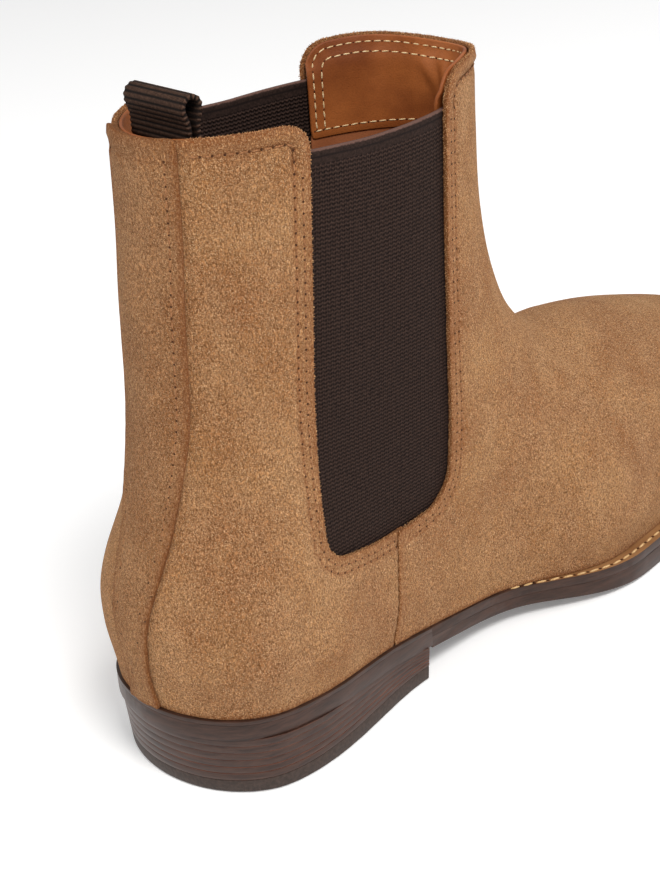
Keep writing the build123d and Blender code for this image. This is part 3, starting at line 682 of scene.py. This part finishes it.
def gore_sheet(name, side):
    u, v = np.meshgrid(np.linspace(0, 1, GORE_STEPS_ACROSS + 1), np.linspace(0, 1, GORE_STEPS_UP + 1))
    flat_x = 43.0 - GORE_TUCK + u * (52.5 + 2 * GORE_TUCK)
    low, top = flow(GORE_LOW, flat_x) - GORE_TUCK_LOW, flow(GORE_TOP, flat_x)
    z = low + v * (top - low)
    rear, front = flow(GORE_REAR, z) - GORE_TUCK, flow(GORE_FRONT, z) + GORE_TUCK
    x = rear + u * (front - rear)
    below = top - z
    wave = np.abs(((u * GORE_RIBS) % 1.0) - 0.5) * 2
    rib = -RIB_HEIGHT * wave**2 * ease(2.6, 4.4, below)
    place, out = on_side(x, z, side, GORE_DEPTH)
    place = place + rib[..., None] * out
    bm = bmesh.new()
    bmesh.ops.create_grid(bm, x_segments=GORE_STEPS_ACROSS, y_segments=GORE_STEPS_UP, size=1)
    bm.verts.ensure_lookup_table()
    marks = bm.loops.layers.uv.new("UVMap")
    for vert, spot in zip(bm.verts, in_frame(place).reshape(-1, 3).tolist()):
        vert.co = spot
    bm.verts.index_update()
    ribs_at, below_at = (u * GORE_RIBS).reshape(-1).tolist(), below.reshape(-1).tolist()
    for face in bm.faces:
        for loop in face.loops:
            loop[marks].uv = (ribs_at[loop.vert.index], below_at[loop.vert.index])
    bm.normal_update()
    if sum(face.normal.y for face in bm.faces) * side < 0:
        bmesh.ops.reverse_faces(bm, faces=bm.faces)
    bmesh.ops.solidify(bm, geom=list(bm.faces), thickness=GORE_THICK * MM)
    for face in bm.faces:
        face.smooth = True
    return new_piece(name, bm, (elastic,))


for side_name, side in (("outer", -1), ("inner", 1)):
    gore = gore_sheet(f"gore_{side_name}_elastic", side)
    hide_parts(f"gore_{side_name}")
    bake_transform(gore)


# Linings and facings: smooth calf and a redder facing inside the front flap and the back, 0.9 mm thick. They
# run behind the suede with the gores sewn between, and their top edges are turned out and glued to it.
LINING_DEPTH, LINING_THICK, FACING_FROM = 2.8, 0.9, 147.5


def grain_group():
    """Smooth leather: fine pores and soft wrinkles over a slow drift of tone."""
    group = bpy.data.node_groups.new("leather_grain", "ShaderNodeTree")
    for name, kind in (
        ("Place", "NodeSocketVector"), ("Dark", "NodeSocketColor"), ("Light", "NodeSocketColor")
    ):
        group.interface.new_socket(name, in_out="INPUT", socket_type=kind)
    group.interface.new_socket("Colour", in_out="OUTPUT", socket_type="NodeSocketColor")
    group.interface.new_socket("Height", in_out="OUTPUT", socket_type="NodeSocketFloat")
    start, end = group.nodes.new("NodeGroupInput"), group.nodes.new("NodeGroupOutput")
    drift = spread(group, noise(group, start.outputs["Place"], 45, 3.0, 0.6), 0.35, 0.65)
    pores = spread(group, noise(group, start.outputs["Place"], 2400, 2.0, 0.6), 0.3, 0.6)
    wrinkles = noise(group, start.outputs["Place"], 330, 3.0, 0.65)
    toned = blend_colours(group, drift, start.outputs["Dark"], start.outputs["Light"])
    deep = blend_colours(group, None, toned, (0.02, 0.008, 0.004), 0.16)
    group.links.new(blend_colours(group, pores, deep, toned), end.inputs["Colour"])
    pore_relief = calculate(group, "MULTIPLY", pores, 0.4)
    group.links.new(calculate(group, "ADD", pore_relief, wrinkles), end.inputs["Height"])
    return group


GRAIN = grain_group()


def leather_material(name, dark, light, roughness, relief=0.00012, coat=0.0, folds=0.0):
    material, tree, shader, place = new_material(name, roughness, 0.25)
    shader.inputs["Coat Weight"].default_value = coat
    shader.inputs["Coat Roughness"].default_value = 0.3
    grain = tree.nodes.new("ShaderNodeGroup")
    grain.node_tree = GRAIN
    tree.links.new(place, grain.inputs["Place"])
    grain.inputs["Dark"].default_value = (*dark, 1)
    grain.inputs["Light"].default_value = (*light, 1)
    tree.links.new(grain.outputs["Colour"], shader.inputs["Base Color"])
    soft = bump(tree, shader, noise(tree, place, 75, 1.0, 0.4, (1.0, 1.0, 0.45)), folds, 0.8) if folds else None
    bump(tree, shader, grain.outputs["Height"], relief, 0.6, soft)
    return material


lining_leather = leather_material("calf_lining", (0.26, 0.075, 0.025), (0.36, 0.12, 0.045), 0.7)
facing_leather = leather_material(
    "facing_leather", (0.21, 0.053, 0.012), (0.4, 0.12, 0.029), 0.5, folds=0.0035
)


FACING_FOLDS = (  # soft folds in the front facing: place (y, z), direction, length and depth in millimetres
    ((4.5, 163.5), (-0.55, -0.84), 6.0, 0.9), ((-2.5, 163.0), (-0.3, -0.95), 5.5, 1.0),
    ((-9.0, 161.0), (-0.1, -1.0), 6.0, 0.8), ((-5.0, 156.0), (0.8, -0.6), 7.0, 0.5),
)


def turned_out(x, y, z):
    """The top edges of the linings are turned out against the suede, above the gores."""
    return 1.2 * (1 - ease(1.5, 7.0, beyond(UPPER_EDGE, x, z))) * ease(165.5, 168.0, z)


def slack_facing(x, y, z):
    """Inside its rows of stitches the front facing stands off in soft folds."""
    free = ease(4.7, 8.5, beyond(UPPER_EDGE, x, z)) * ease(150.5, 155.0, z)
    folds = np.zeros_like(x)
    for (fold_y, fold_z), (along_y, along_z), length, depth in FACING_FOLDS:
        along = (y - fold_y) * along_y + (z - fold_z) * along_z
        across = (y - fold_y) * along_z - (z - fold_z) * along_y
        folds += depth * near_line(along, length) * near_line(across, 1.7)
    return turned_out(x, y, z) - free * folds


def lining_keep(front, low, high, side=0):
    def keep(x, y, z):
        seam = -beyond(SEAM_PATH, x, z) if front else beyond(SEAM_PATH, x, z)
        edge = np.minimum(beyond(UPPER_EDGE, x, z) - 0.4, above_feather(x, z) - 1.0)
        return np.minimum(np.minimum(np.minimum(edge, seam - 0.1), z - low), high - z)
    return keep


for name, columns, front, low, high, material, stands_for, slot_name in (
    ("vamp_calf_lining", BOTH_SIDES, True, 0, FACING_FROM + 1.5, lining_leather,
     ("vamp_lining", "front_shaft_lining"), "lining_leather"),
    ("quarter_calf_lining", ROUND_FROM_BACK, False, 0, FACING_FROM - 0.2, lining_leather,
     ("quarter_lining",), "lining_leather"),
    ("front_leather_facing", BOTH_SIDES, True, FACING_FROM, 200, facing_leather,
     ("front_facing",), "facing_leather"),
    ("back_leather_facing", ROUND_FROM_BACK, False, FACING_FROM, 200, facing_leather,
     ("back_facing",), "facing_leather"),
):
    sewn_on = name == "front_leather_facing"
    depth, lift = (LINING_DEPTH + 0.45, slack_facing) if sewn_on else (LINING_DEPTH, turned_out)
    lined_part = lining_keep(front, low, high)
    sheet = skin(name, columns, lined_part, depth, LINING_THICK, (material, material), 0.3, lift)
    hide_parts(*stands_for)
    if name == "vamp_calf_lining":
        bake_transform(sheet)
    else:
        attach(sheet, "shaft_front" if front else "boot")


# Stitching: waxed thread in lock stitch, tone on tone on the suede and cream on the facing. Every stitch is a
# short capsule pulled into the leather, with a dark disc at its end painted as the shade of its needle hole;
# the rows follow the cut edges.
def thread_material(name, dark, light):
    material, tree, shader, place = new_material(name, 0.75, 0.2)
    twist = spread(tree, noise(tree, place, 2600, 2.0, 0.5), 0.35, 0.65)
    tree.links.new(blend_colours(tree, twist, dark, light), shader.inputs["Base Color"])
    bump(tree, shader, twist, 0.0001, 0.6)
    return material


tan_thread = thread_material("tan_thread", (0.2, 0.08, 0.028), (0.42, 0.2, 0.09))
cream_thread = thread_material("cream_thread", (0.6, 0.4, 0.18), (0.9, 0.72, 0.45))
golden_thread = thread_material("golden_thread", (0.5, 0.3, 0.12), (0.78, 0.54, 0.28))
# Painted shade: needle holes are dark discs standing in for the shade inside each hole.
needle_hole_shade = thread_material("needle_hole_shade", (0.04, 0.012, 0.004), (0.1, 0.035, 0.012))


def contours(field):
    """Lines where a field over the last's grid is zero, as chains of (row, column) places."""
    places, links = {}, {}
    for axis in (0, 1):
        near = field[:-1] if axis == 0 else field[:, :-1]
        far = field[1:] if axis == 0 else field[:, 1:]
        for row, column in zip(*np.nonzero(near * far < 0)):
            share = near[row, column] / (near[row, column] - far[row, column])
            places[axis, row, column] = (row + share, column) if axis == 0 else (row, column + share)
    cells = {}
    for axis, row, column in places:
        for back in (0, 1):
            cell = (row, column - back) if axis == 0 else (row - back, column)
            cells.setdefault(cell, []).append((axis, row, column))
    for ends in cells.values():
        if len(ends) == 2:
            links.setdefault(ends[0], []).append(ends[1])
            links.setdefault(ends[1], []).append(ends[0])
    chains, used = [], set()
    for first in sorted(links, key=lambda key: (len(links[key]), key)):
        if first in used:
            continue
        chain, here = [], first
        while here is not None:
            used.add(here)
            chain.append(places[here])
            here = next((k for k in links[here] if k not in used), None)
        chains.append(np.array(chain))
    return chains


def on_grid(places, depth):
    """Points and outward directions at fractional (row, column) places, depth (mm) under the surface."""
    row, column = places[:, 0], places[:, 1]
    r, c = np.minimum(row.astype(int), LAST.shape[0] - 2), np.minimum(column.astype(int), LAST.shape[1] - 2)
    u, v = (row - r)[:, None], (column - c)[:, None]

    def sample(grid):
        near = grid[r, c] * (1 - v) + grid[r, c + 1] * v
        return near * (1 - u) + (grid[r + 1, c] * (1 - v) + grid[r + 1, c + 1] * v) * u

    out = sample(LAST_NORMAL)
    out /= np.linalg.norm(out, axis=1, keepdims=True)
    point = sample(LAST)
    return point - depth * out, out, point


jitter = random.Random(4)


def small_shape(make, **sizes):
    """A little mesh made once, to be stamped many times."""
    bm = bmesh.new()
    make(bm, **sizes)
    for face in bm.faces:
        face.smooth = True
    mesh = bpy.data.meshes.new("small_shape")
    bm.to_mesh(mesh)
    bm.free()
    return mesh


STITCH = small_shape(bmesh.ops.create_uvsphere, u_segments=6, v_segments=6, radius=1.0)
# A flattened disc that carries the painted shade of a needle hole.
HOLE_SHADE = small_shape(bmesh.ops.create_icosphere, subdivisions=1, radius=1.0)


def stamp(bm, shape, matrices, material_index=0):
    """Adds a copy of a small shape to the mesh at each matrix."""
    base = np.array([(*vert.co, 1.0) for vert in shape.vertices])
    untouched = base[:, :3].ravel().copy()
    shape.polygons.foreach_set("material_index", [material_index] * len(shape.polygons))
    for matrix in matrices:
        shape.vertices.foreach_set("co", (base @ np.array(matrix).T)[:, :3].ravel())
        bm.from_mesh(shape)
    shape.vertices.foreach_set("co", untouched)


def sew(bm, points, outs, pitch, length, width, sunk=0.08):
    """Stitches of one row, evenly pitched along a line of points (mm), each followed by a dark disc painted
    as the shade of a needle hole.
    """
    run = np.concatenate([[0], np.cumsum(np.linalg.norm(np.diff(points, axis=0), axis=1))])
    if run[-1] < pitch:
        return
    at = np.linspace(0, run[-1], max(2, int(run[-1] / pitch) + 1))
    middle = (at[1:] + at[:-1]) / 2

    def along(values, where):
        return np.stack([np.interp(where, run, values[:, k]) for k in range(3)], -1)

    headings = along(points, middle + 1) - along(points, middle - 1)
    stitches, needle_hole_shades = [], []
    spots, normals, holes = along(points, middle), along(outs, middle), along(points, at[1:])
    for spot, heading, normal, hole in zip(spots, headings, normals, holes):
        normal, heading = Vector(normal).normalized(), Vector(heading)
        heading = (heading - normal * heading.dot(normal)).normalized()
        heading.rotate(Matrix.Rotation(jitter.uniform(-0.09, 0.09) + 0.06, 3, normal))
        half_across = normal.cross(heading) * width / 2
        axes = Matrix((half_across, normal * width * 0.42, heading * length / 2)).transposed()
        place = Matrix.Translation(Vector(in_frame(spot)) - normal * sunk * MM)
        stitches.append(place @ (axes * MM).to_4x4())
        turn = normal.to_track_quat("Z", "Y").to_matrix() @ Matrix.Diagonal((0.62, 0.62, 0.2))
        needle_hole_shades.append(Matrix.Translation(in_frame(hole)) @ (turn * width * MM).to_4x4())
    stamp(bm, STITCH, stitches)
    stamp(bm, HOLE_SHADE, needle_hole_shades, 1)


def field_of(keep):
    return keep(LAST[..., 0], LAST[..., 1], LAST[..., 2])


def stitch_piece(name, rows, thread, pitch=2.9, length=2.1, width=0.6, sunk=0.02):
    """rows: (field over the last, depth of the surface sewn, which places to keep)."""
    bm = bmesh.new()
    for field, depth, wanted in rows:
        for chain in contours(field):
            points, outs, surface = on_grid(chain, depth)
            good = np.array([wanted(*place) for place in surface])
            edges = np.flatnonzero(np.diff(np.concatenate([[0], good.astype(int), [0]])))
            for start, stop in zip(edges[::2], edges[1::2]):
                if stop - start > 3:
                    sew(bm, points[start:stop], outs[start:stop], pitch, length, width, sunk)
    return new_piece(name, bm, (thread, needle_hole_shade))


def edge_row(distance):
    return field_of(lambda x, y, z: beyond(UPPER_EDGE, x, z) - distance)


def in_front(x, y, z):
    return x > 71.5 + 0.04 * z - 2


def behind_seam(x, y, z):
    return x <= 71.0 and abs(y - float(swing(x))) > float(flow(STRIP_HALF, z)) + 1.5


seam_row = field_of(lambda x, y, z: -beyond(SEAM_PATH, x, z) - 2.4)
vamp_stitching = stitch_piece("vamp_stitching", (
    (edge_row(4.3), 0.3, in_front), (edge_row(2.2), 0.18, in_front),
    (seam_row, -0.12, lambda x, y, z: float(flow(FEATHER, x)) + 2 < z < 46),
), tan_thread)
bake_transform(vamp_stitching)
quarter_stitching = stitch_piece("quarter_stitching", (
    (edge_row(4.3), 0.3, behind_seam),
    (edge_row(2.2), 0.18, lambda x, y, z: behind_seam(x, y, z) and (z < 166 or x > 44)),
), tan_thread)
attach(quarter_stitching, "boot")
strip_row = field_of(lambda x, y, z: np.where(x < 60, flow(STRIP_HALF, z) - 2.7 - np.abs(y - swing(x)), -5))
strip_stitching = stitch_piece("back_strip_stitching", (
    (strip_row, -1.1, lambda x, y, z: 27 < z < 169.5),
    (edge_row(4.3), -0.95,
     lambda x, y, z: x < 40 and abs(y - float(swing(x))) < float(flow(STRIP_HALF, z)) - 3.2),
), tan_thread)
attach(strip_stitching, "boot")
FACING_FACE = LINING_DEPTH + 0.45 + LINING_THICK
facing_low_row = field_of(lambda x, y, z: z - FACING_FROM - 2.2)
facing_stitching = bmesh.new()


def sewn_facing(x, y, z):
    return x > 97 and z > FACING_FROM + 1


facing_rows = ((edge_row(2.1), sewn_facing), (edge_row(4.7), sewn_facing),
               (facing_low_row, lambda x, y, z: beyond(UPPER_EDGE, x, z) > 1.2 and x > 90))
for field, wanted in facing_rows:
    for chain in contours(field):
        points, outs, surface = on_grid(chain, FACING_FACE)
        lifted = turned_out(surface[:, 0], surface[:, 1], surface[:, 2])[:, None] * outs
        good = np.array([bool(wanted(*place)) for place in surface])
        edges = np.flatnonzero(np.diff(np.concatenate([[0], good.astype(int), [0]])))
        for start, stop in zip(edges[::2], edges[1::2]):
            if stop - start > 3:
                sew(facing_stitching, (points + lifted)[start:stop], -outs[start:stop], 2.6, 2.0, 0.5, 0.02)
facing_stitching = new_piece("facing_stitching", facing_stitching, (cream_thread, needle_hole_shade))
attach(facing_stitching, "shaft_front")


# Fibres: brushed suede is never quite clean at a cut edge. Short fibres of the hide stand out of the edges of
# the gore windows, the collar and the side seams, and lie every way.
fibre_suede = thread_material("edge_fibre", (0.34, 0.12, 0.035), (0.78, 0.46, 0.22))
FIBRE = small_shape(bmesh.ops.create_cone, segments=3, radius1=1.0, radius2=0.25, depth=2.0, cap_ends=False)
FIBRE_PITCH, FIBRE_HALF_WIDTH, FIBRE_SHORT, FIBRE_LONG = 0.15, 0.08, 0.5, 1.3
fibre_draws = random.Random(11)


def edge_fibres(name, rows):
    """rows: (field over the last, depth range of the cut edge, which places to keep)."""
    bm = bmesh.new()
    for field, (shallow, deep), wanted in rows:
        for chain in contours(field):
            points, outs, surface = on_grid(chain, 0.0)
            run = np.concatenate([[0], np.cumsum(np.linalg.norm(np.diff(points, axis=0), axis=1))])
            at = np.arange(0, run[-1], FIBRE_PITCH)
            places, normals = (
                np.stack([np.interp(at, run, v[:, k]) for k in range(3)], -1) for v in (points, outs)
            )
            headings = np.gradient(places, axis=0)
            matrices = []
            for place, normal, heading in zip(places, normals, headings):
                if not wanted(*place):
                    continue
                normal = Vector(normal).normalized()
                across = Vector(heading).cross(normal).normalized()
                outward = normal * fibre_draws.uniform(-0.7, 1.1)
                lean = across + outward + Vector(heading).normalized() * fibre_draws.gauss(0, 0.6)
                half = fibre_draws.uniform(FIBRE_SHORT, FIBRE_LONG) / 2
                turn = lean.to_track_quat("Z", "Y").to_matrix()
                size = Matrix.Diagonal((FIBRE_HALF_WIDTH, FIBRE_HALF_WIDTH, half)) * MM
                root = in_frame(place) - np.array(normal) * fibre_draws.uniform(shallow, deep) * MM
                centre = Vector(root) + lean.normalized() * half * 0.6 * MM
                matrices.append(Matrix.Translation(centre) @ (turn @ size).to_4x4())
            stamp(bm, FIBRE, matrices)
    return new_piece(name, bm, (fibre_suede,))


cut_edge = edge_row(0.0)
vamp_fibres = edge_fibres("vamp_edge_fibres", ((cut_edge, (0.0, 1.3), in_front),))
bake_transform(vamp_fibres)
quarter_fibres = edge_fibres("quarter_edge_fibres", (
    (cut_edge, (0.0, 1.3), behind_seam),
    (field_of(lambda x, y, z: -beyond(SEAM_PATH, x, z)), (-0.3, 0.1),
     lambda x, y, z: float(flow(FEATHER, x)) < z < 52),
))
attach(quarter_fibres, "boot")


# Pull tab: a loop of grosgrain webbing 22 mm wide, ribbed across, folded over and sewn down inside the back.
# Its two ends lie flat between the back facing and the suede; the fold stands above the collar.
TAB_X, TAB_Z, TAB_TOP, TAB_HALF, WEBBING = 28.3, 174.4, 181.3, 10.8, 1.2
RIB_PITCH, TAB_STEPS_ACROSS = 1.35, 16
TAB_ROLL = 2.5


def webbing_material():
    """Ribs come with the map: u runs along the webbing in ribs, v across it in millimetres."""
    material, tree, shader, place = new_material("grosgrain_webbing", 0.8, 0.15)
    parts, marks = tree.nodes.new("ShaderNodeSeparateXYZ"), tree.nodes.new("ShaderNodeUVMap")
    marks.uv_map = "UVMap"
    tree.links.new(marks.outputs["UV"], parts.inputs["Vector"])
    warp = calculate(tree, "SINE", calculate(tree, "MULTIPLY", parts.outputs["Y"], 2 * math.pi / 0.42))
    rib = calculate(tree, "COSINE", calculate(tree, "MULTIPLY", parts.outputs["X"], 2 * math.pi))
    threads = calculate(tree, "ADD", calculate(tree, "MULTIPLY", warp, 0.3), noise(tree, place, 1400, 2.0, 0.5))
    body = blend_colours(tree, spread(tree, threads, 0.2, 0.9), (0.02, 0.009, 0.005), (0.085, 0.045, 0.029))
    # Painted shade: the colour darkens to near-black in the grooves between the ribs.
    shaded_valleys = blend_colours(tree, spread(tree, rib, -0.9, 0.1), (0.006, 0.003, 0.002), body)
    tree.links.new(shaded_valleys, shader.inputs["Base Color"])
    bump(tree, shader, threads, 0.00018, 0.7)
    return material


def tab_line(count=400):
    """Middle line (x, z) of the webbing, from its inner end up over the fold and down to its outer end."""
    centre = TAB_TOP - TAB_ROLL
    turn = np.radians(np.linspace(180, 0, 60))
    fold = np.stack([TAB_X + TAB_ROLL * np.cos(turn), centre + TAB_ROLL * np.sin(turn)], -1)
    waist = 1.3
    low = np.linspace(-11.0, -0.5, 30)[:, None] * np.array([[0.0, 1.0]])
    inner = np.array([TAB_X + waist, TAB_Z]) + low
    outer = np.array([TAB_X - waist, TAB_Z]) + low
    side = np.linspace(0, 1, 24)[1:-1, None]
    bulge = ease(0, 1, side)
    up = np.concatenate([outer[-1] + (fold[0] - outer[-1]) * np.c_[bulge, side], fold])
    down = fold[-1] + (inner[-1] - fold[-1]) * np.c_[ease(0, 1, side), side]
    line = np.concatenate([outer, up, down, inner[::-1]])
    run = np.concatenate([[0], np.cumsum(np.hypot(*np.diff(line, axis=0).T))])
    at = np.linspace(0, run[-1], count)
    return np.stack([np.interp(at, run, line[:, k]) for k in (0, 1)], -1), at


def tab_piece():
    line, at = tab_line()
    heading = np.gradient(line, axis=0)
    heading /= np.linalg.norm(heading, axis=1, keepdims=True)
    out = np.stack([-heading[:, 1], heading[:, 0]], -1)
    rib = 0.075 * np.cos(2 * math.pi * at / RIB_PITCH)
    across = np.linspace(-1, 1, TAB_STEPS_ACROSS + 1)
    bm = bmesh.new()
    bmesh.ops.create_grid(bm, x_segments=TAB_STEPS_ACROSS, y_segments=len(at) - 1, size=1)
    bm.verts.ensure_lookup_table()
    marks = bm.loops.layers.uv.new("UVMap")
    edge_thin = 1 - 0.35 * np.abs(across) ** 8
    for k in range(len(at)):
        for j, width in enumerate(across):
            reach = WEBBING / 2 + rib[k] * edge_thin[j]
            x, z = line[k] + out[k] * reach
            y = TAB_HALF * width * (1 + 0.012 * math.cos(2 * math.pi * at[k] / RIB_PITCH))
            bm.verts[k * (TAB_STEPS_ACROSS + 1) + j].co = in_frame((x, y + float(swing(TAB_X)), z))
    bm.verts.index_update()
    for face in bm.faces:
        for loop in face.loops:
            k, j = divmod(loop.vert.index, TAB_STEPS_ACROSS + 1)
            loop[marks].uv = (at[k] / RIB_PITCH, across[j] * TAB_HALF)
    bm.normal_update()
    top = max(bm.faces, key=lambda face: face.calc_center_median().z)
    if top.normal.z < 0:
        bmesh.ops.reverse_faces(bm, faces=bm.faces)
    bmesh.ops.solidify(bm, geom=list(bm.faces), thickness=WEBBING * MM)
    for face in bm.faces:
        face.smooth = True
    return new_piece("pull_tab_webbing", bm, (webbing_material(),)), float(at[-1])


tab, tab_length = tab_piece()
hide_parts("pull_tab_loop", "pull_tab_ends")
tab_at = in_frame((TAB_X, 0, TAB_Z))
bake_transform(tab)


# Sole: oak-bark leather outsole with a stained and waxed edge, a tan welt stitched round the forepart and a
# thin rand round the heel seat. The edges are lightly broken, as an edge iron leaves them.
def edged_copy(node, name, edge_round, materials, body="boot"):
    """A solid's own shape with its sharp edges rounded."""
    bm = bmesh.new()
    bm.from_mesh(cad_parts[node].data)
    bmesh.ops.remove_doubles(bm, verts=bm.verts, dist=2e-6)
    bmesh.ops.dissolve_limit(
        bm, angle_limit=math.radians(2.0), verts=bm.verts, edges=bm.edges, use_dissolve_boundaries=False,
        delimit={"NORMAL"},
    )
    bm.normal_update()
    corner = [edge for edge in bm.edges if len(edge.link_faces) == 2 and edge.calc_face_angle(0) > 0.7]
    rounded = bmesh.ops.bevel(
        bm, geom=corner, offset=edge_round * MM, segments=2, profile=0.5, affect="EDGES", material=-1,
        clamp_overlap=True,
    )
    for face in bm.faces:
        face.smooth = True
        face.material_index = 0
    for face in rounded["faces"] if len(materials) > 1 else ():
        face.material_index = 1
    bmesh.ops.triangulate(bm, faces=[face for face in bm.faces if len(face.verts) > 4])
    bm.normal_update()
    for edge in bm.edges:
        edge.smooth = len(edge.link_faces) == 2 and edge.calc_face_angle(0) < 0.7
    copy = new_piece(name, bm, materials)
    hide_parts(node)
    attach(copy, body)
    return copy


def stacked_leather(name, dark, light, roughness, coat, layer_scale):
    """Edge of sole leather: long fine streaks along the layers, stained and waxed."""
    material, tree, shader, place = new_material(name, roughness, 0.3)
    shader.inputs["Coat Weight"].default_value = coat
    shader.inputs["Coat Roughness"].default_value = 0.22
    streaks = noise(tree, place, 90, 4.0, 0.65, (1.0, 1.0, layer_scale))
    fine = noise(tree, place, 420, 3.0, 0.6, (0.5, 0.5, 4.0))
    mask = spread(tree, calculate(tree, "ADD", streaks, calculate(tree, "MULTIPLY", fine, 0.6)), 0.6, 1.0)
    tree.links.new(blend_colours(tree, mask, dark, light), shader.inputs["Base Color"])
    rough = calculate(tree, "ADD", calculate(tree, "MULTIPLY", fine, 0.25), roughness - 0.12)
    tree.links.new(rough, shader.inputs["Roughness"])
    bump(tree, shader, fine, 0.00012, 0.35)
    return material


sole_edge = stacked_leather("sole_leather", (0.022, 0.009, 0.005), (0.062, 0.027, 0.017), 0.42, 0.1, 8.0)
welt_leather = leather_material("welt_leather", (0.2, 0.085, 0.028), (0.33, 0.165, 0.065), 0.55, 0.0001, 0.1)
edged_copy("outsole", "outsole_leather", 0.35, (sole_edge,))
TAN_FROM = -0.012  # the welt's top is dark at the waist and tan round the forepart
welt_strip = edged_copy("welt", "welt_strip", 0.3, (sole_edge,))
welt_strip.data.materials.append(welt_leather)
for face in welt_strip.data.polygons:
    if face.normal.z > 0.6 and face.center.x > TAN_FROM:
        face.material_index = 1
edged_copy("heel_rand", "heel_rand_strip", 0.15, (sole_edge,))

WELT_STITCH_FROM, WELT_STITCH_OUT, WELT_PITCH = 118.0, 2.1, 4.4
foot_loop = LAST[0, :-1]
ahead_of = np.roll(foot_loop, -3, 0) - np.roll(foot_loop, 3, 0)
foot_out = np.stack([ahead_of[:, 1], -ahead_of[:, 0]], -1)
foot_out /= np.linalg.norm(foot_out, axis=1, keepdims=True)
if ((foot_loop[:, :2] - foot_loop[:, :2].mean(0)) * foot_out).sum() < 0:
    foot_out = -foot_out
stand_out = WELT_STITCH_OUT * ease(118, 160, foot_loop[:, 0]) + 0.2
welt_line = np.c_[foot_loop[:, :2] + foot_out * stand_out[:, None], flow(FEATHER, foot_loop[:, 0]) + 0.05]
sewn = np.flatnonzero(foot_loop[:, 0] > WELT_STITCH_FROM)
welt_bm = bmesh.new()
sew(welt_bm, welt_line[sewn], np.tile((0.0, 0.0, 1.0), (len(sewn), 1)), WELT_PITCH, 3.3, 0.85, 0.0)
welt_stitching = new_piece("welt_stitching", welt_bm, (golden_thread, needle_hole_shade))
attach(welt_stitching, "boot")


# Heel: six lifts of sole leather, pasted and nailed, scoured flush and waxed, over a rubber top piece. Each
# lift keeps a hair-thin line at its edges, where the layers meet.
lift_leather = stacked_leather("heel_leather", (0.024, 0.01, 0.0065), (0.07, 0.033, 0.022), 0.4, 0.12, 10.0)
lift_line = stacked_leather("heel_lift_line", (0.075, 0.022, 0.011), (0.16, 0.055, 0.03), 0.45, 0.1, 10.0)
for number in range(1, 7):
    lift_name = f"heel_lift_{number}"
    edged_copy(lift_name, f"{lift_name}_leather", 0.2, (lift_leather, lift_line))
rubber, rubber_tree, rubber_shader, rubber_place = new_material("heel_rubber", 0.55, 0.4)
rubber_specks = spread(rubber_tree, noise(rubber_tree, rubber_place, 1100, 2.0, 0.6), 0.35, 0.7)
rubber_tree.links.new(
    blend_colours(rubber_tree, rubber_specks, (0.028, 0.016, 0.011), (0.06, 0.035, 0.026)),
    rubber_shader.inputs["Base Color"],
)
bump(rubber_tree, rubber_shader, rubber_specks, 0.0001, 0.5)
edged_copy("heel_top_piece", "heel_rubber_top_piece", 0.3, (rubber,))


# Inside pieces: insole board and sock liner, cork and fibre fillers, the steel shank, stiffeners and nails.
# They keep the solids' own shapes, each with the finish of its stuff.
def filler_material(name, dark, light, scale, roughness, metallic=0.0):
    material, tree, shader, place = new_material(name, roughness, 0.4)
    shader.inputs["Metallic"].default_value = metallic
    grains = tree.nodes.new("ShaderNodeTexVoronoi")
    grains.inputs["Scale"].default_value = scale
    tree.links.new(place, grains.inputs["Vector"])
    crumbs = calculate(tree, "ADD", grains.outputs["Distance"], noise(tree, place, scale, 3.0, 0.6))
    mask = spread(tree, crumbs, 0.5, 1.3)
    tree.links.new(blend_colours(tree, mask, dark, light), shader.inputs["Base Color"])
    bump(tree, shader, mask, 0.0002, 0.5)
    return material


cork = filler_material("cork_crumb", (0.16, 0.08, 0.035), (0.48, 0.3, 0.16), 550, 0.85)
fibre_board = filler_material("fibre_board", (0.3, 0.2, 0.12), (0.46, 0.34, 0.22), 900, 0.8)
steel = filler_material("spring_steel", (0.42, 0.42, 0.43), (0.62, 0.62, 0.63), 300, 0.35, 1.0)
stiffener = filler_material("stiffener_board", (0.34, 0.27, 0.19), (0.52, 0.44, 0.34), 1200, 0.9)
sock_leather = leather_material("sock_leather", (0.3, 0.13, 0.06), (0.42, 0.2, 0.1), 0.55)
for node, material in (
    ("cork_filler", cork), ("shank_bed", fibre_board), ("insole_board", fibre_board), ("shank", steel),
    ("heel_nails", steel), ("heel_counter", stiffener), ("toe_puff", stiffener), ("sock_liner", sock_leather),
):
    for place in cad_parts[node].material_slots:
        place.material = material
